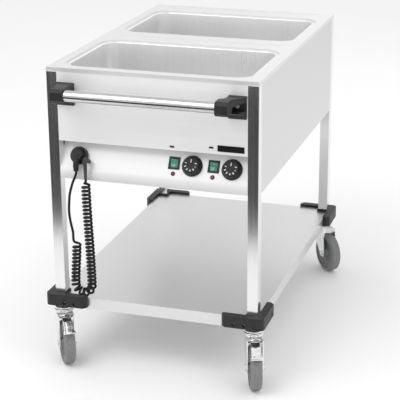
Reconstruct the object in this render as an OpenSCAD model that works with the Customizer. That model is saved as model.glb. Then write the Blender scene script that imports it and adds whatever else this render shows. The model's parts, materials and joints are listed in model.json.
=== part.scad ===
// Mobile bain-marie trolley with two wells, in millimetres, +Z up, handle at -Y.

/* [Body] */
// Width over the legs
body_w = 590; // [570:5:640]
// Length over the legs
body_l = 900; // [880:10:1000]
// Height of the worktop above the floor
top_h = 855; // [840:5:920]
// Height of the folded rim round the worktop
rim_h = 11; // [8:1:16]
// Thickness of the stainless sheet
sheet_t = 1.5; // [1:0.1:2]
// Height of the body's lower edge
skirt_h = 546; // [530:1:560]
// Width of the flanges folded inwards
flange_w = 20; // [15:1:25]
// Height of the floor pan above the body's lower edge
pan_up = 54; // [49:1:66]

/* [Legs] */
// Side of the square leg tube
leg_w = 30; // [28:1:32]
// Wall of the leg tube
leg_wall = 2; // [1.5:0.1:2.5]

/* [Wells] */
// Distance from the body's side to a well
well_side = 40; // [37:1:55]
// Opening of a well along the trolley
well_y = 308; // [290:2:320]
// Room between the floor pan and a well's floor
well_room = 51; // [48:1:80]
// Corner radius of a well
well_r = 40; // [25:1:60]
// Distance from the front face to the front well
front_margin = 42; // [40:1:50]
// Distance between the two wells
divider_w = 138; // [110:2:160]
// Width of the pressed ledge round a well
ledge_w = 12; // [8:1:14]
// Depth of the pressed ledge
ledge_d = 4; // [3:0.5:6]

/* [Control panel] */
// Gap between the slanted face and the front panel
panel_gap = 8; // [6:0.5:12]
// Height of the lip below the slanted face
lip_h = 28; // [24:1:34]
// Slant of the control panel from the vertical
slant_angle = 29; // [26:1:30]
// Length of the slanted face
slant_len = 81; // [78:1:82]
// Distance of the controls up the slanted face
control_u = 38; // [37:1:40]
// Distance of the pilot lamps up the slanted face
lamp_u = 13; // [12:1:14]
// Distance between the two control groups
group_pitch = 110; // [100:1:115]
// Distance from the body's side to the second knob
knob_side = 77; // [74:1:85]
// Distance from a knob to its switch
switch_dx = 51; // [48:1:54]

/* [Knobs and switches] */
// Radius of the knob's skirt
knob_r = 28.5; // [26:0.5:29]
// Radius of the knob's face
knob_face_r = 21; // [18:0.5:23]
// Height of the knob
knob_h = 18; // [14:1:22]
// Radius of the thermostat spindle
spindle_r = 3; // [2.5:0.1:3.5]
// Width of a switch bezel
bezel_w = 31; // [29:0.5:32]
// Height of a switch bezel
bezel_h = 34; // [32:0.5:35]
// Width of a rocker
rocker_w = 21.4; // [19:0.2:22]
// Height of a rocker
rocker_l = 24; // [22:0.5:25]
// Tilt of a rocker to either side
rocker_tilt = 8; // [6:1:9]
// Radius of a pilot lamp
lamp_r = 6; // [5:0.5:7]

/* [Handle] */
// Diameter of the handle tube
bar_d = 30; // [26:1:32]
// Wall of the handle tube
bar_wall = 1.5; // [1:0.1:2]
// Distance from the front face to the bar's axis
bar_reach = 85; // [80:1:95]
// Height of the bar's axis, as a share of the front panel's height
bar_share = 0.743; // [0.72:0.001:0.76]
// Distance from the body's side to a socket's outer face
socket_side = 55; // [51:1:59]
// Length of a socket
socket_l = 34; // [30:1:38]
// Wall of a socket round the tube
socket_wall = 4; // [3:0.5:5]

/* [Shelf and bumpers] */
// Height of the shelf's top
shelf_h = 197; // [190:1:205]
// Height of the shelf's folded rim
shelf_rim = 33.5; // [31:0.5:35]
// How far a bumper stands out
bump_out = 22; // [18:1:26]
// Length of a bumper's arms
bump_arm = 120; // [110:2:140]
// Height of a bumper
bump_h = 34; // [31:1:38]
// Thickness of the pad under a leg
pad_t = 8; // [6:1:10]

/* [Castors] */
// Radius of a wheel
wheel_r = 62.5; // [60:0.5:63]
// Width of a tyre
tyre_w = 32; // [28:1:34]
// Thickness of a tyre
tyre_t = 12.5; // [10:0.5:15]
// Distance between king pin and axle
trail = 38; // [34:1:40]
// Radius of the axle bolt
axle_r = 5; // [4:0.5:6]
// Turn of the front left castor from straight ahead
angle_front_left = 33; // [0:1:90]
// Turn of the front right castor from straight ahead
angle_front_right = 21; // [0:1:90]
// Turn of the rear castors outwards from straight ahead
angle_rear = 41; // [0:1:60]

/* [Cord] */
// Diameter of the mains cord
cord_d = 7; // [6:0.1:7.5]
// Radius of the curls' middle line
curl_r = 9.8; // [9:0.1:10.2]
// Curls in the leg from the outlet
curls_down = 28; // [20:1:30]
// Curls in the bend
curls_bend = 5.5; // [4:0.5:6]
// Curls in the leg towards the plug
curls_up = 11; // [8:0.5:12]

/* [Hidden] */
$fn = 48;

// General clearances
run_fit = 0.06;      // radial clearance of a shaft that turns
seat_gap = 0.3;      // gap between pieces that only lie against each other
slip = 0.3;          // radial clearance of a screw, pipe or body in its hole
plug_fit = 0.1;      // gap round a panel plug's shank

// Body
half_w = body_w / 2;
half_l = body_l / 2;
socket_half = bar_d / 2 + socket_wall;
origin_dy = (bar_reach + socket_half - bump_out) / 2;  // moves the outline's middle to the origin
leg_x = half_w - leg_w / 2;
leg_y = half_l - leg_w / 2;
panel_w = body_w - 2 * leg_w;
panel_l = body_l - 2 * leg_w;
rim_z = top_h - rim_h;
fold_h = skirt_h + lip_h;
pan_h = skirt_h + pan_up;
slant_y = -half_l + slant_len * sin(slant_angle);
slant_z = fold_h + slant_len * cos(slant_angle);
gap_h = slant_z + panel_gap;                 // lower edge of the front panel
leg_foot = shelf_h + pad_t;

// Wells
well_x = body_w - 2 * well_side;
well_y_front = -half_l + front_margin + well_y / 2;
well_y_rear = well_y_front + well_y + divider_w;
well_t = 1.2;                                // sheet of the wells
ledge_z = top_h - ledge_d;                   // top of a well's flange, seen as the ledge
well_floor = pan_h + well_room;
drain_r = 10;
drain_wall = 2;
heater_t = 5;
heater_inset = 45;
heater_hole_r = drain_r + 4;
groove_w = 6;
groove_d = 1;

// Control panel
box_depth = 76;                              // of the box behind the controls
box_back_y = -half_l + box_depth;
hood_depth = 35;                             // flange under the front panel
knob_xs = [half_w - knob_side - group_pitch, half_w - knob_side];
switch_xs = [knob_xs[0] - switch_dx, knob_xs[1] - switch_dx];
switch_u = control_u + 4;
bezel_lip = 2.5;
bezel_depth = 26;
bezel_room_w = rocker_w + 0.6;
bezel_room_l = rocker_l + 2;
bezel_body_w = bezel_w - 3;
bezel_body_l = bezel_h - 3;
rocker_pivot_z = -3;
rocker_pin_r = 1.5;
rocker_room = 11;          // depth of the rocker's room below its pivot
rocker_end_h = 6;
rocker_waist_h = 4.2;
rocker_belly = 8;
bush_r = 5;
thermostat_w = 36;
thermostat_h = 22;
thermostat_floor = 4;
knob_gap = 0.8;
pointer_w = 3;
pointer_h = 1;
lamp_flange_h = 1.5;
lamp_dome_h = 2;
lamp_depth = 12;
plug_strip = [10, 3];      // shank of a small panel plug
plug_cap = [12, 4.5];      // its cap
plug_cap_t = 1.5;
panel_plug_places = [[knob_xs[0] - 50, gap_h + 10], [knob_xs[0] + 58, gap_h + 17]];
plate_size = [73, 17];
plate_t = 1.5;
plate_x = half_w - 75;
plate_up = 8;              // name plate above the front panel's lower edge

// Handle
bar_h = gap_h + bar_share * (top_h - gap_h);
socket_x = half_w - socket_side;
base_w = 48;
base_t = 9;                                 // thickness of the bracket's base
base_slope = 14;                            // depth at which the base meets the arm
base_x = half_w - leg_w - base_w - 2;       // inner edge of the bracket's base
base_low = bar_h - 48;
base_high = bar_h + 13;
arm_slope = 4;
bracket_bevel = 8;
bracket_screw_x = socket_x - 1;
bracket_screw_z = bar_h - 14;
bracket_screw_floor = 6;                    // plastic left under a screw's head
bracket_screw_l = 14;
pocket_w = base_w + 12;
pocket_h = 22;
pocket_in = 12;                             // from the screw to the pocket's inner wall
screw_head_r = 5;
screw_head_h = 3.5;
screw_r = 3;
bar_end_x = socket_x - 10;

// Bumpers
bump_top = leg_foot;
bump_low = bump_top - bump_h;
bump_screw_z = bump_low + 10;
bump_screws_x = [half_w - 33, half_w - 63];
bump_screw_y = half_l - 70;
bump_head_r = 4.2;
bump_head_h = 3;
bump_shank_r = 2.2;
bump_sink = 12;
pad_side = leg_w + 3;

// Castors
shelf_low = shelf_h - shelf_rim;
crown_low = 2 * wheel_r + 14.5;
crown_t = 3.5;
race_low = crown_low + crown_t;
race_split = race_low + 8;
head_top = shelf_low - 1;
race_r = 28;
head_r = 29.5;
king_r = 5;
king_head_r = 9;
stem_r = 6;
boss_r = 12;
stem_top = leg_foot + 50;
arm_t = 3;
arm_in = tyre_w / 2 + 4;
arm_out = arm_in + arm_t;
hub_r = wheel_r - tyre_t;
boss_half = arm_in - seat_gap;
hub_boss_r = 14;
web_half = 10;
rim_t = 7;
rim_half = 13;
tyre_shoulder = 9;
nut_h = 5;
nut_r = 9;
pedal_pivot_s = 30;
pedal_pivot_z = crown_low - 2.5;
pedal_pin_r = 3;
pedal_tube_r = 5;
pedal_w = 34;
pedal_t = 3;
// Underside of the pedal's folded plate: along the trail, height
pedal_line = [
    [pedal_pivot_s, pedal_pivot_z + 1], [trail + 23, wheel_r + 67.5], [trail + 46, wheel_r + 53],
    [trail + 60, wheel_r + 47.5], [trail + 64, wheel_r + 52.5]
];
shoe = [12, 20, 4];
shoe_place = [trail + 14, -shoe[1] / 2, wheel_r + 66.5];
fork_back = 24;
fork_front = 44;
fork_eye_r = 13;
crown_front = 22;
castors = [
    [-leg_x, -leg_y, angle_front_left],
    [leg_x, -leg_y, angle_front_right],
    [-leg_x, leg_y, -angle_rear],
    [leg_x, leg_y, angle_rear]
];

// Drain valves
valve_w = 30;
valve_low = pan_h - 36;
valve_high = pan_h - 6;
valve_z = (valve_low + valve_high) / 2;
nozzle_low = skirt_h + 6;
lever_pin_r = 4;
lever_y = valve_w / 2 + 12;
lever_l = 30;
lever_w = 12;

// Cord: the plug's parking place and the outlet on the slanted face
holder_side = 82;          // from the body's side to the holder's middle
holder_x = -half_w + holder_side;
holder_r = 24;
holder_h = 12;
plug_r = 18.5;
plug_z0 = 3;
plug_z1 = 26;
plug_neck_z = 19;
plug_elbow_u = 6;
plug_neck_r = 9;
plug_elbow_r = 8;
plug_tip_drop = 13.46;     // from the elbow down to the neck's end
pin_r = 2.4;
pin_pitch = 19;
pin_l = 19;
gland_side = 110;
gland_x = -half_w + gland_side;
gland_u = 25;
gland_r = 6;
gland_root_r = 5;
gland_reach = 32;
boot_tip_r = 4.4;
plug_tip_r = 6.4;
plug_tip_y = -half_l + plug_elbow_u * sin(slant_angle) - plug_neck_z * cos(slant_angle);
plug_elbow_z = fold_h + plug_elbow_u * cos(slant_angle) + plug_neck_z * sin(slant_angle);
plug_tip_z = plug_elbow_z - plug_tip_drop;
coil_y = -half_l + gland_u * sin(slant_angle) - gland_reach * cos(slant_angle);
boot_top_z = fold_h + gland_u * cos(slant_angle) + gland_reach * sin(slant_angle);
boot_l = 55.38;
boot_low_z = boot_top_z - boot_l;
bend_r = 24;
bend_x = gland_x - 16;
bend_up = 48;       // the bend's middle above the shelf
bend_z = shelf_h + bend_up;
bend_len = PI * bend_r;
down_len = boot_low_z - cord_d - bend_z;
up_len = 122;
up_drift = 7;       // how far the leg towards the plug leans
curls = curls_down + curls_bend + curls_up;
lead_len = 14;      // length over which the last curl straightens
rings_per_curl = 8;
cord_sides = 6;
// Straight stretch from the coil's upper end to the plug, points chosen by hand:
// across and along from the plug's tip, and the share of the way up to it
tail_points = [
    [-16, -2, 0.04], [-19, -2, 0.12], [-22, -2, 0.21], [-24, -2, 0.32], [-24, -2, 0.42],
    [-23, -1, 0.53], [-21, -1, 0.63], [-17, 0, 0.73], [-11, 0, 0.84], [-4, 0, 0.93]
];
tail_sides = 10;

// ---- small helpers ----

function unit(v) = v / norm(v);
function left_of(v) = [-v[1], v[0]];

// A point of a folded sheet's other face: the mitre of the two walls that meet there
function mitre(pts, i, t) =
    let (before = unit(i == 0 ? pts[1] - pts[0] : pts[i] - pts[i - 1]),
         after = i == len(pts) - 1 ? before : unit(pts[i + 1] - pts[i]),
         n = unit(left_of(before) + left_of(after)))
    pts[i] + n * t / (n * left_of(before));

// Cross section of a folded sheet: the outer line, with the thickness on its left
module fold_section(pts, t) {
    last = len(pts) - 1;
    polygon(concat(pts, [for (i = [last:-1:0]) mitre(pts, i, t)]));
}

// Extrudes a section drawn in Y and Z along X, centred
module along_x(length) {
    rotate([90, 0, 90]) linear_extrude(length, center = true) children();
}

// Extrudes a section drawn in X and Z along Y, centred
module along_y(length) {
    rotate([90, 0, 0]) linear_extrude(length, center = true) children();
}

module rounded_rect(w, l, r) {
    square([w - 2 * r, l], center = true);
    square([w, l - 2 * r], center = true);
    for (sx = [-1, 1], sy = [-1, 1])
        translate([sx * (w / 2 - r), sy * (l / 2 - r)]) circle(r);
}

// Local frame of the slanted face: x across, y up the slant, z outwards
module on_slant() {
    translate([0, -half_l, fold_h]) rotate([90 - slant_angle, 0, 0]) children();
}

module pan_head_screw(head_r, head_h, shank_r, shank_l) {
    cylinder(r = head_r, h = head_h);
    translate([0, 0, -shank_l]) cylinder(r = shank_r, h = shank_l);
}

// Places the model so that its outline is centred over the origin
module in_frame() {
    translate([0, origin_dy, 0]) children();
}

// ---- frame, shelf and bumpers ----

module leg(i) {
    color("silver") in_frame() translate([castors[i][0], castors[i][1], leg_foot])
        linear_extrude(rim_z - leg_foot) difference() {
            square(leg_w, center = true);
            square(leg_w - 2 * leg_wall, center = true);
        }
}

module shelf() {
    color("gainsboro") in_frame() difference() {
        translate([-half_w, -half_l, shelf_low]) cube([body_w, body_l, shelf_rim]);
        translate([-half_w + sheet_t, -half_l + sheet_t, shelf_low - 1])
            cube([body_w - 2 * sheet_t, body_l - 2 * sheet_t, shelf_rim + 1 - sheet_t]);
        for (c = castors) translate([c[0], c[1], shelf_low])
            cylinder(r = stem_r + slip, h = shelf_rim + 1);
        at_bumper_screws() translate([0, 0, -bump_out - 8]) cylinder(r = bump_shank_r + slip, h = 16);
    }
}

// Puts a screw at each bumper hole, its axis pointing out of the outer face
module at_bumper_screws(corner = -1) {
    for (i = [0:3]) if (corner < 0 || corner == i) {
        sx = sign(castors[i][0]);
        sy = sign(castors[i][1]);
        for (x = bump_screws_x)
            translate([sx * x, sy * (half_l + bump_out), bump_screw_z])
                rotate([-sy * 90, 0, 0]) children();
        translate([sx * (half_w + bump_out), sy * bump_screw_y, bump_screw_z])
            rotate([0, sx * 90, 0]) children();
    }
}

// Outline of the rear right bumper's arms, corner rounded and ends chamfered
module bumper_outline() {
    out_x = half_w + bump_out;
    out_y = half_l + bump_out;
    bevel = 10;
    corner_r = 14;
    polygon([
        [out_x - bump_arm, half_l], [out_x - bump_arm, out_y - bevel], [out_x - bump_arm + bevel, out_y],
        [out_x - corner_r, out_y], [out_x - corner_r, out_y - corner_r], [out_x, out_y - corner_r],
        [out_x, out_y - bump_arm + bevel], [out_x - bevel, out_y - bump_arm],
        [half_w, out_y - bump_arm], [half_w, half_l]
    ]);
    translate([out_x - corner_r, out_y - corner_r]) intersection() {
        circle(corner_r);
        square(corner_r);
    }
}

module bumper(i) {
    sx = sign(castors[i][0]);
    sy = sign(castors[i][1]);
    color("dimgray") in_frame() difference() {
        scale([sx, sy, 1]) union() {
            translate([0, 0, bump_low]) linear_extrude(bump_h) bumper_outline();
            translate([half_w - pad_side, half_l - pad_side, shelf_h])
                cube([pad_side + 1, pad_side + 1, pad_t]);
        }
        translate([castors[i][0], castors[i][1], shelf_h - 1]) cylinder(r = stem_r + slip, h = pad_t + 2);
        at_bumper_screws(i) {
            translate([0, 0, -bump_sink]) cylinder(r = bump_head_r + slip, h = bump_sink + 1);
            translate([0, 0, -bump_out - 1]) cylinder(r = bump_shank_r + slip, h = bump_out + 1);
        }
    }
}

module bumper_screws() {
    color("gray") in_frame() at_bumper_screws()
        translate([0, 0, -bump_sink]) pan_head_screw(bump_head_r, bump_head_h, bump_shank_r,
                                                     bump_out - bump_sink + 5);
}

// ---- body ----

module worktop() {
    tray_w = well_x + 2 * ledge_w;
    tray_l = well_y + 2 * ledge_w;
    color("gainsboro") in_frame() difference() {
        union() {
            difference() {
                translate([-half_w, -half_l, rim_z]) cube([body_w, body_l, rim_h]);
                translate([-half_w + sheet_t, -half_l + sheet_t, rim_z - 1])
                    cube([body_w - 2 * sheet_t, body_l - 2 * sheet_t, rim_h + 1 - sheet_t]);
            }
            for (y = [well_y_front, well_y_rear]) translate([0, y, ledge_z])
                linear_extrude(ledge_d - sheet_t / 2)
                    rounded_rect(tray_w + 2 * sheet_t, tray_l + 2 * sheet_t, well_r + ledge_w + sheet_t);
        }
        for (y = [well_y_front, well_y_rear]) translate([0, y, ledge_z - 1])
            linear_extrude(ledge_d + 2) rounded_rect(tray_w, tray_l, well_r + ledge_w);
        for (y = [(well_y_front + well_y_rear) / 2, half_l - flange_w])
            translate([0, y, top_h - groove_d])
                linear_extrude(groove_d + 1) rounded_rect(well_x, groove_w, groove_w / 2 - 0.1);
    }
}

// The worktop's folded edge stands on the rim of the well's flange
module well(y) {
    out_x = well_x + 2 * well_t;
    out_y = well_y + 2 * well_t;
    rim = ledge_w + sheet_t;
    color("lightgray") in_frame() translate([0, y, 0]) difference() {
        union() {
            translate([0, 0, well_floor - well_t]) linear_extrude(ledge_z - well_floor + well_t)
                rounded_rect(out_x, out_y, well_r + well_t);
            translate([0, 0, ledge_z - well_t]) linear_extrude(well_t)
                rounded_rect(well_x + 2 * rim, well_y + 2 * rim, well_r + rim);
        }
        translate([0, 0, well_floor]) linear_extrude(top_h - well_floor)
            rounded_rect(well_x, well_y, well_r);
        translate([0, 0, well_floor - well_t - 1]) cylinder(r = drain_r - drain_wall, h = well_t + 2);
    }
}

module front_panel() {
    color("gainsboro") in_frame() difference() {
        along_x(panel_w) fold_section([
            [-half_l, rim_z], [-half_l, gap_h], [-half_l + hood_depth, gap_h]
        ], sheet_t);
        for (s = [-1, 1]) translate([s * bracket_screw_x, -half_l - 1, bracket_screw_z])
            rotate([-90, 0, 0]) cylinder(r = screw_r + slip, h = sheet_t + 2);
        at_panel_plugs() translate([-plug_strip[0] / 2, -1, -plug_strip[1] / 2])
            cube([plug_strip[0], sheet_t + 2, plug_strip[1]]);
    }
}

module at_panel_plugs() {
    for (p = panel_plug_places) translate([p[0], -half_l, p[1]]) children();
}

module panel_plugs() {
    color("black") in_frame() at_panel_plugs() {
        translate([-plug_cap[0] / 2, -plug_cap_t, -plug_cap[1] / 2])
            cube([plug_cap[0], plug_cap_t, plug_cap[1]]);
        translate([-plug_strip[0] / 2 + plug_fit, -0.5, -plug_strip[1] / 2 + plug_fit])
            cube([plug_strip[0] - 2 * plug_fit, sheet_t + 2.5, plug_strip[1] - 2 * plug_fit]);
    }
}

module name_plate() {
    color("black") in_frame() translate([plate_x - plate_size[0] / 2, -half_l - plate_t, gap_h + plate_up])
        cube([plate_size[0], plate_t, plate_size[1]]);
}

module rear_panel() {
    color("gainsboro") in_frame() mirror([0, 1, 0]) along_x(panel_w)
        fold_section([[-half_l, rim_z], [-half_l, skirt_h], [-half_l + flange_w, skirt_h]], sheet_t);
}

module side_panel(s) {
    color("gainsboro") in_frame() scale([-s, 1, 1]) along_y(panel_l)
        fold_section([[-half_w, rim_z], [-half_w, skirt_h], [-half_w + flange_w, skirt_h]], sheet_t);
}

module control_panel() {
    color("whitesmoke") in_frame() difference() {
        along_x(panel_w) fold_section([
            [slant_y + flange_w, slant_z], [slant_y, slant_z], [-half_l, fold_h], [-half_l, skirt_h],
            [box_back_y, skirt_h], [box_back_y, pan_h]
        ], sheet_t);
        on_slant() {
            for (x = knob_xs) translate([x, control_u, -sheet_t - 1])
                cylinder(r = bush_r + slip, h = sheet_t + 2);
            for (x = switch_xs) {
                translate([x - bezel_body_w / 2 - slip, switch_u - bezel_body_l / 2 - slip, -sheet_t - 1])
                    cube([bezel_body_w + 2 * slip, bezel_body_l + 2 * slip, sheet_t + 2]);
                translate([x, lamp_u, -sheet_t - 1]) cylinder(r = lamp_r - 1 + slip, h = sheet_t + 2);
            }
            translate([gland_x, gland_u, -sheet_t - 1]) cylinder(r = gland_root_r + slip, h = sheet_t + 2);
            for (s = [-1, 1]) translate([holder_x + s * pin_pitch / 2, control_u, -sheet_t - 1])
                cylinder(r = pin_r + slip, h = sheet_t + 2);
        }
    }
}

module floor_pan() {
    inner_w = body_w - 2 * sheet_t;
    color("lightgray") in_frame() difference() {
        translate([-inner_w / 2, box_back_y - sheet_t, pan_h])
            cube([inner_w, half_l - sheet_t - box_back_y + sheet_t, sheet_t]);
        for (s = [-1, 1]) translate([s * leg_x - leg_w / 2, leg_y - leg_w / 2, pan_h - 1])
            cube([leg_w, leg_w, sheet_t + 2]);
        for (y = [well_y_front, well_y_rear]) translate([0, y, pan_h - 1])
            cylinder(r = drain_r + slip, h = sheet_t + 2);
    }
}

module heating_plates() {
    color("darkorange") in_frame() for (y = [well_y_front, well_y_rear])
        translate([0, y, well_floor - well_t - heater_t]) linear_extrude(heater_t) difference() {
            square([well_x - 2 * heater_inset, well_y - 2 * heater_inset], center = true);
            circle(heater_hole_r);
        }
}

// ---- controls ----

module thermostats() {
    color("dimgray") in_frame() on_slant() for (x = knob_xs) translate([x, control_u, 0]) difference() {
        union() {
            translate([-thermostat_w / 2, -thermostat_w / 2, -sheet_t - thermostat_h])
                cube([thermostat_w, thermostat_w, thermostat_h]);
            translate([0, 0, -sheet_t - 1]) cylinder(r = bush_r, h = sheet_t + 1.5);
        }
        translate([0, 0, -sheet_t - thermostat_h + thermostat_floor])
            cylinder(r = spindle_r + run_fit, h = 2 * thermostat_h);
    }
}

module knob(i) {
    color("black") in_frame() on_slant() translate([knob_xs[i], control_u, knob_gap]) {
        cylinder(r1 = knob_r, r2 = knob_face_r, h = knob_h);
        translate([-pointer_w / 2, 2, knob_h - 0.5]) cube([pointer_w, knob_face_r - 6, pointer_h + 0.5]);
        translate([0, 0, -knob_gap - sheet_t - thermostat_h + thermostat_floor + 1])
            cylinder(r = spindle_r, h = thermostat_h + sheet_t + knob_gap);
    }
}

module switch_housings() {
    color("black") in_frame() on_slant() for (x = switch_xs) translate([x, switch_u, 0]) difference() {
        union() {
            translate([-bezel_w / 2, -bezel_h / 2, 0]) cube([bezel_w, bezel_h, bezel_lip]);
            translate([-bezel_body_w / 2, -bezel_body_l / 2, bezel_lip - bezel_depth])
                cube([bezel_body_w, bezel_body_l, bezel_depth - 1]);
        }
        translate([-bezel_room_w / 2, -bezel_room_l / 2, rocker_pivot_z - rocker_room])
            cube([bezel_room_w, bezel_room_l, rocker_room + bezel_depth]);
        translate([0, 0, rocker_pivot_z]) rotate([0, 90, 0])
            cylinder(r = rocker_pin_r + run_fit, h = bezel_room_w + 3, center = true);
    }
}

module rocker(i) {
    h = rocker_l / 2;
    color("seagreen") in_frame() on_slant()
        translate([switch_xs[i], switch_u, rocker_pivot_z]) rotate([rocker_tilt, 0, 0]) {
            along_x(rocker_w) polygon([
                [-h, -rocker_end_h], [-h, rocker_end_h], [0, rocker_waist_h], [h, rocker_end_h],
                [h, -rocker_end_h], [0, -rocker_belly]
            ]);
            rotate([0, 90, 0]) cylinder(r = rocker_pin_r, h = bezel_room_w + 2, center = true);
        }
}

module pilot_lamps() {
    color("firebrick") in_frame() on_slant() for (x = switch_xs) translate([x, lamp_u, 0]) {
        cylinder(r = lamp_r, h = lamp_flange_h);
        translate([0, 0, lamp_flange_h - 0.1]) cylinder(r1 = lamp_r - 1, r2 = lamp_r - 3, h = lamp_dome_h);
        translate([0, 0, -lamp_depth]) cylinder(r = lamp_r - 1, h = lamp_depth + 0.5);
    }
}

// ---- handle ----

module handle_bar() {
    color("silver") in_frame() translate([0, -half_l - bar_reach, bar_h]) rotate([0, 90, 0]) difference() {
        cylinder(r = bar_d / 2, h = 2 * bar_end_x, center = true);
        cylinder(r = bar_d / 2 - bar_wall, h = 2 * bar_end_x + 2, center = true);
    }
}

// Seen from above, distances out from the front panel are positive
module bracket_plan() {
    far = bar_reach + socket_half;
    near = bar_reach - socket_half;
    in_x = socket_x - socket_l;
    polygon([
        [base_x, 0], [base_x + base_w, 0], [base_x + base_w, base_t], [base_x + base_w - 5, base_slope],
        [socket_x + 1, near - arm_slope], [socket_x, near + arm_slope], [socket_x, far], [in_x, far],
        [in_x, near - 2], [base_x, near - 4 * arm_slope]
    ]);
}

module bracket_side() {
    far = bar_reach + socket_half;
    near = bar_reach - socket_half;
    up = bar_h + socket_half;
    low = bar_h - socket_half;
    bevel = bracket_bevel;
    polygon([
        [0, base_low], [base_t, base_low], [base_slope, base_low + 11], [near - arm_slope, low + 2],
        [near + bevel, low], [far - bevel, low], [far, low + bevel], [far, up - bevel], [far - bevel, up],
        [near, up], [base_slope, base_high - 2], [base_t, base_high], [0, base_high]
    ]);
}

module handle_bracket(s) {
    plan_h = 2 * (base_high - base_low);      // taller and wider than the bracket, to cut its outline
    side_w = 2 * (base_w + socket_l);
    wall_l = bracket_screw_floor + 4;         // from the pocket's floor to the front panel
    color("dimgray") in_frame() scale([s, 1, 1]) difference() {
        translate([0, -half_l, 0]) intersection() {
            scale([1, -1, 1]) translate([0, 0, base_low - 1]) linear_extrude(plan_h) bracket_plan();
            translate([socket_x, 0, 0]) scale([1, -1, 1]) along_x(side_w) bracket_side();
        }
        translate([bracket_screw_x - pocket_in, -half_l - bar_reach + socket_half + 4,
                   bracket_screw_z - pocket_h / 2])
            cube([pocket_w, bar_reach - socket_half - wall_l, pocket_h]);
        translate([0, -half_l - bar_reach, bar_h]) rotate([0, 90, 0]) cylinder(r = bar_d / 2, h = bar_end_x);
        translate([bracket_screw_x, -half_l - wall_l, bracket_screw_z]) rotate([-90, 0, 0])
            cylinder(r = screw_r + slip, h = 2 * wall_l);
    }
}

module handle_screws() {
    color("gray") in_frame() for (s = [-1, 1])
        translate([s * bracket_screw_x, -half_l - bracket_screw_floor, bracket_screw_z]) rotate([90, 0, 0])
            pan_head_screw(screw_head_r, screw_head_h, screw_r, bracket_screw_l);
}

// ---- castors ----

// Local frame of a castor: x is the way the wheel trails, z from the floor
module at_castor(i) {
    translate([castors[i][0], castors[i][1], 0]) rotate([0, 0, castors[i][2] - 90]) children();
}

module castor_heads() {
    color("silver") in_frame() for (i = [0:3]) at_castor(i) {
        translate([0, 0, race_split]) cylinder(r = head_r, h = head_top - race_split);
        translate([0, 0, head_top - 0.5])
            cylinder(r = boss_r, h = shelf_h - sheet_t - head_top + 0.5);
        translate([0, 0, shelf_h - 5]) cylinder(r = stem_r, h = stem_top - shelf_h + 5);
        rotate([0, 0, 90 - castors[i][2]]) translate([0, 0, leg_foot]) linear_extrude(stem_top - leg_foot)
            square(leg_w - 2 * leg_wall, center = true);
        translate([0, 0, crown_low - 3]) cylinder(r = king_r, h = race_split - crown_low + 4);
        translate([0, 0, crown_low - 6]) cylinder(r = king_head_r, h = 6 - seat_gap);
    }
}

module fork_arm() {
    polygon([
        [-fork_back, race_low], [fork_front, race_low], [trail + fork_eye_r, wheel_r],
        [trail - 9, wheel_r - 9.5], [-fork_back, wheel_r + 50]
    ]);
    translate([trail, wheel_r]) circle(fork_eye_r);
}

module fork(i) {
    color("silver") in_frame() at_castor(i) difference() {
        union() {
            for (s = [-1, 1]) translate([0, s * (arm_in + arm_t / 2), 0])
                along_y(arm_t) fork_arm();
            translate([-fork_back, -arm_out, crown_low])
                cube([fork_back + crown_front, 2 * arm_out, crown_t]);
            translate([0, 0, race_low]) cylinder(r1 = race_r - 3, r2 = race_r, h = 3);
            translate([0, 0, race_low + 3]) cylinder(r = race_r, h = race_split - seat_gap - race_low - 3);
        }
        translate([0, 0, crown_low - 1]) cylinder(r = king_r + run_fit, h = 20);
        translate([trail, 0, wheel_r]) rotate([90, 0, 0])
            cylinder(r = axle_r, h = 2 * arm_out + 2, center = true);
        if (i < 2) translate([pedal_pivot_s, 0, pedal_pivot_z]) rotate([90, 0, 0])
            cylinder(r = pedal_pin_r + run_fit, h = 2 * arm_out + 2, center = true);
    }
}

module axle(i) {
    color("gray") in_frame() at_castor(i) translate([trail, 0, wheel_r]) rotate([90, 0, 0]) {
        cylinder(r = axle_r, h = 2 * arm_out + 2, center = true);
        for (s = [0, 1]) mirror([0, 0, s]) translate([0, 0, arm_out]) cylinder(r = nut_r, h = nut_h, $fn = 6);
    }
}

module hub_section() {
    difference() {
        union() {
            square([hub_boss_r, boss_half]);
            square([hub_r, web_half]);
            translate([hub_r - rim_t, 0]) square([rim_t, rim_half]);
            translate([hub_boss_r, 0]) polygon([
                [0, boss_half - 4], [0, 0], [hub_boss_r, 0], [hub_boss_r, web_half]
            ]);
        }
        square([axle_r + run_fit, boss_half + 1]);
    }
}

module hub(i) {
    color("lightgray") in_frame() at_castor(i) translate([trail, 0, wheel_r]) rotate([90, 0, 0])
        rotate_extrude($fn = 64) {
            hub_section();
            mirror([0, 1]) hub_section();
        }
}

module tyre(i) {
    shoulder = tyre_shoulder;
    color("gray") in_frame() at_castor(i) translate([trail, 0, wheel_r]) rotate([90, 0, 0])
        rotate_extrude($fn = 64) {
            translate([hub_r, -tyre_w / 2]) square([tyre_t - shoulder, tyre_w]);
            translate([hub_r, -tyre_w / 2 + shoulder]) square([tyre_t, tyre_w - 2 * shoulder]);
            for (s = [-1, 1]) intersection() {
                translate([wheel_r - shoulder, s * (tyre_w / 2 - shoulder)]) circle(shoulder);
                translate([hub_r, -tyre_w]) square([tyre_t, 2 * tyre_w]);
            }
        }
}

module pedal(i) {
    color("silver") in_frame() at_castor(i) {
        translate([pedal_pivot_s, 0, pedal_pivot_z]) rotate([90, 0, 0]) {
            cylinder(r = pedal_tube_r, h = 2 * (arm_in - 1), center = true);
            cylinder(r = pedal_pin_r, h = 2 * arm_out, center = true);
        }
        along_y(pedal_w) fold_section(pedal_line, pedal_t);
        translate(shoe_place) cube(shoe);
    }
}

// ---- drains ----

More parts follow.
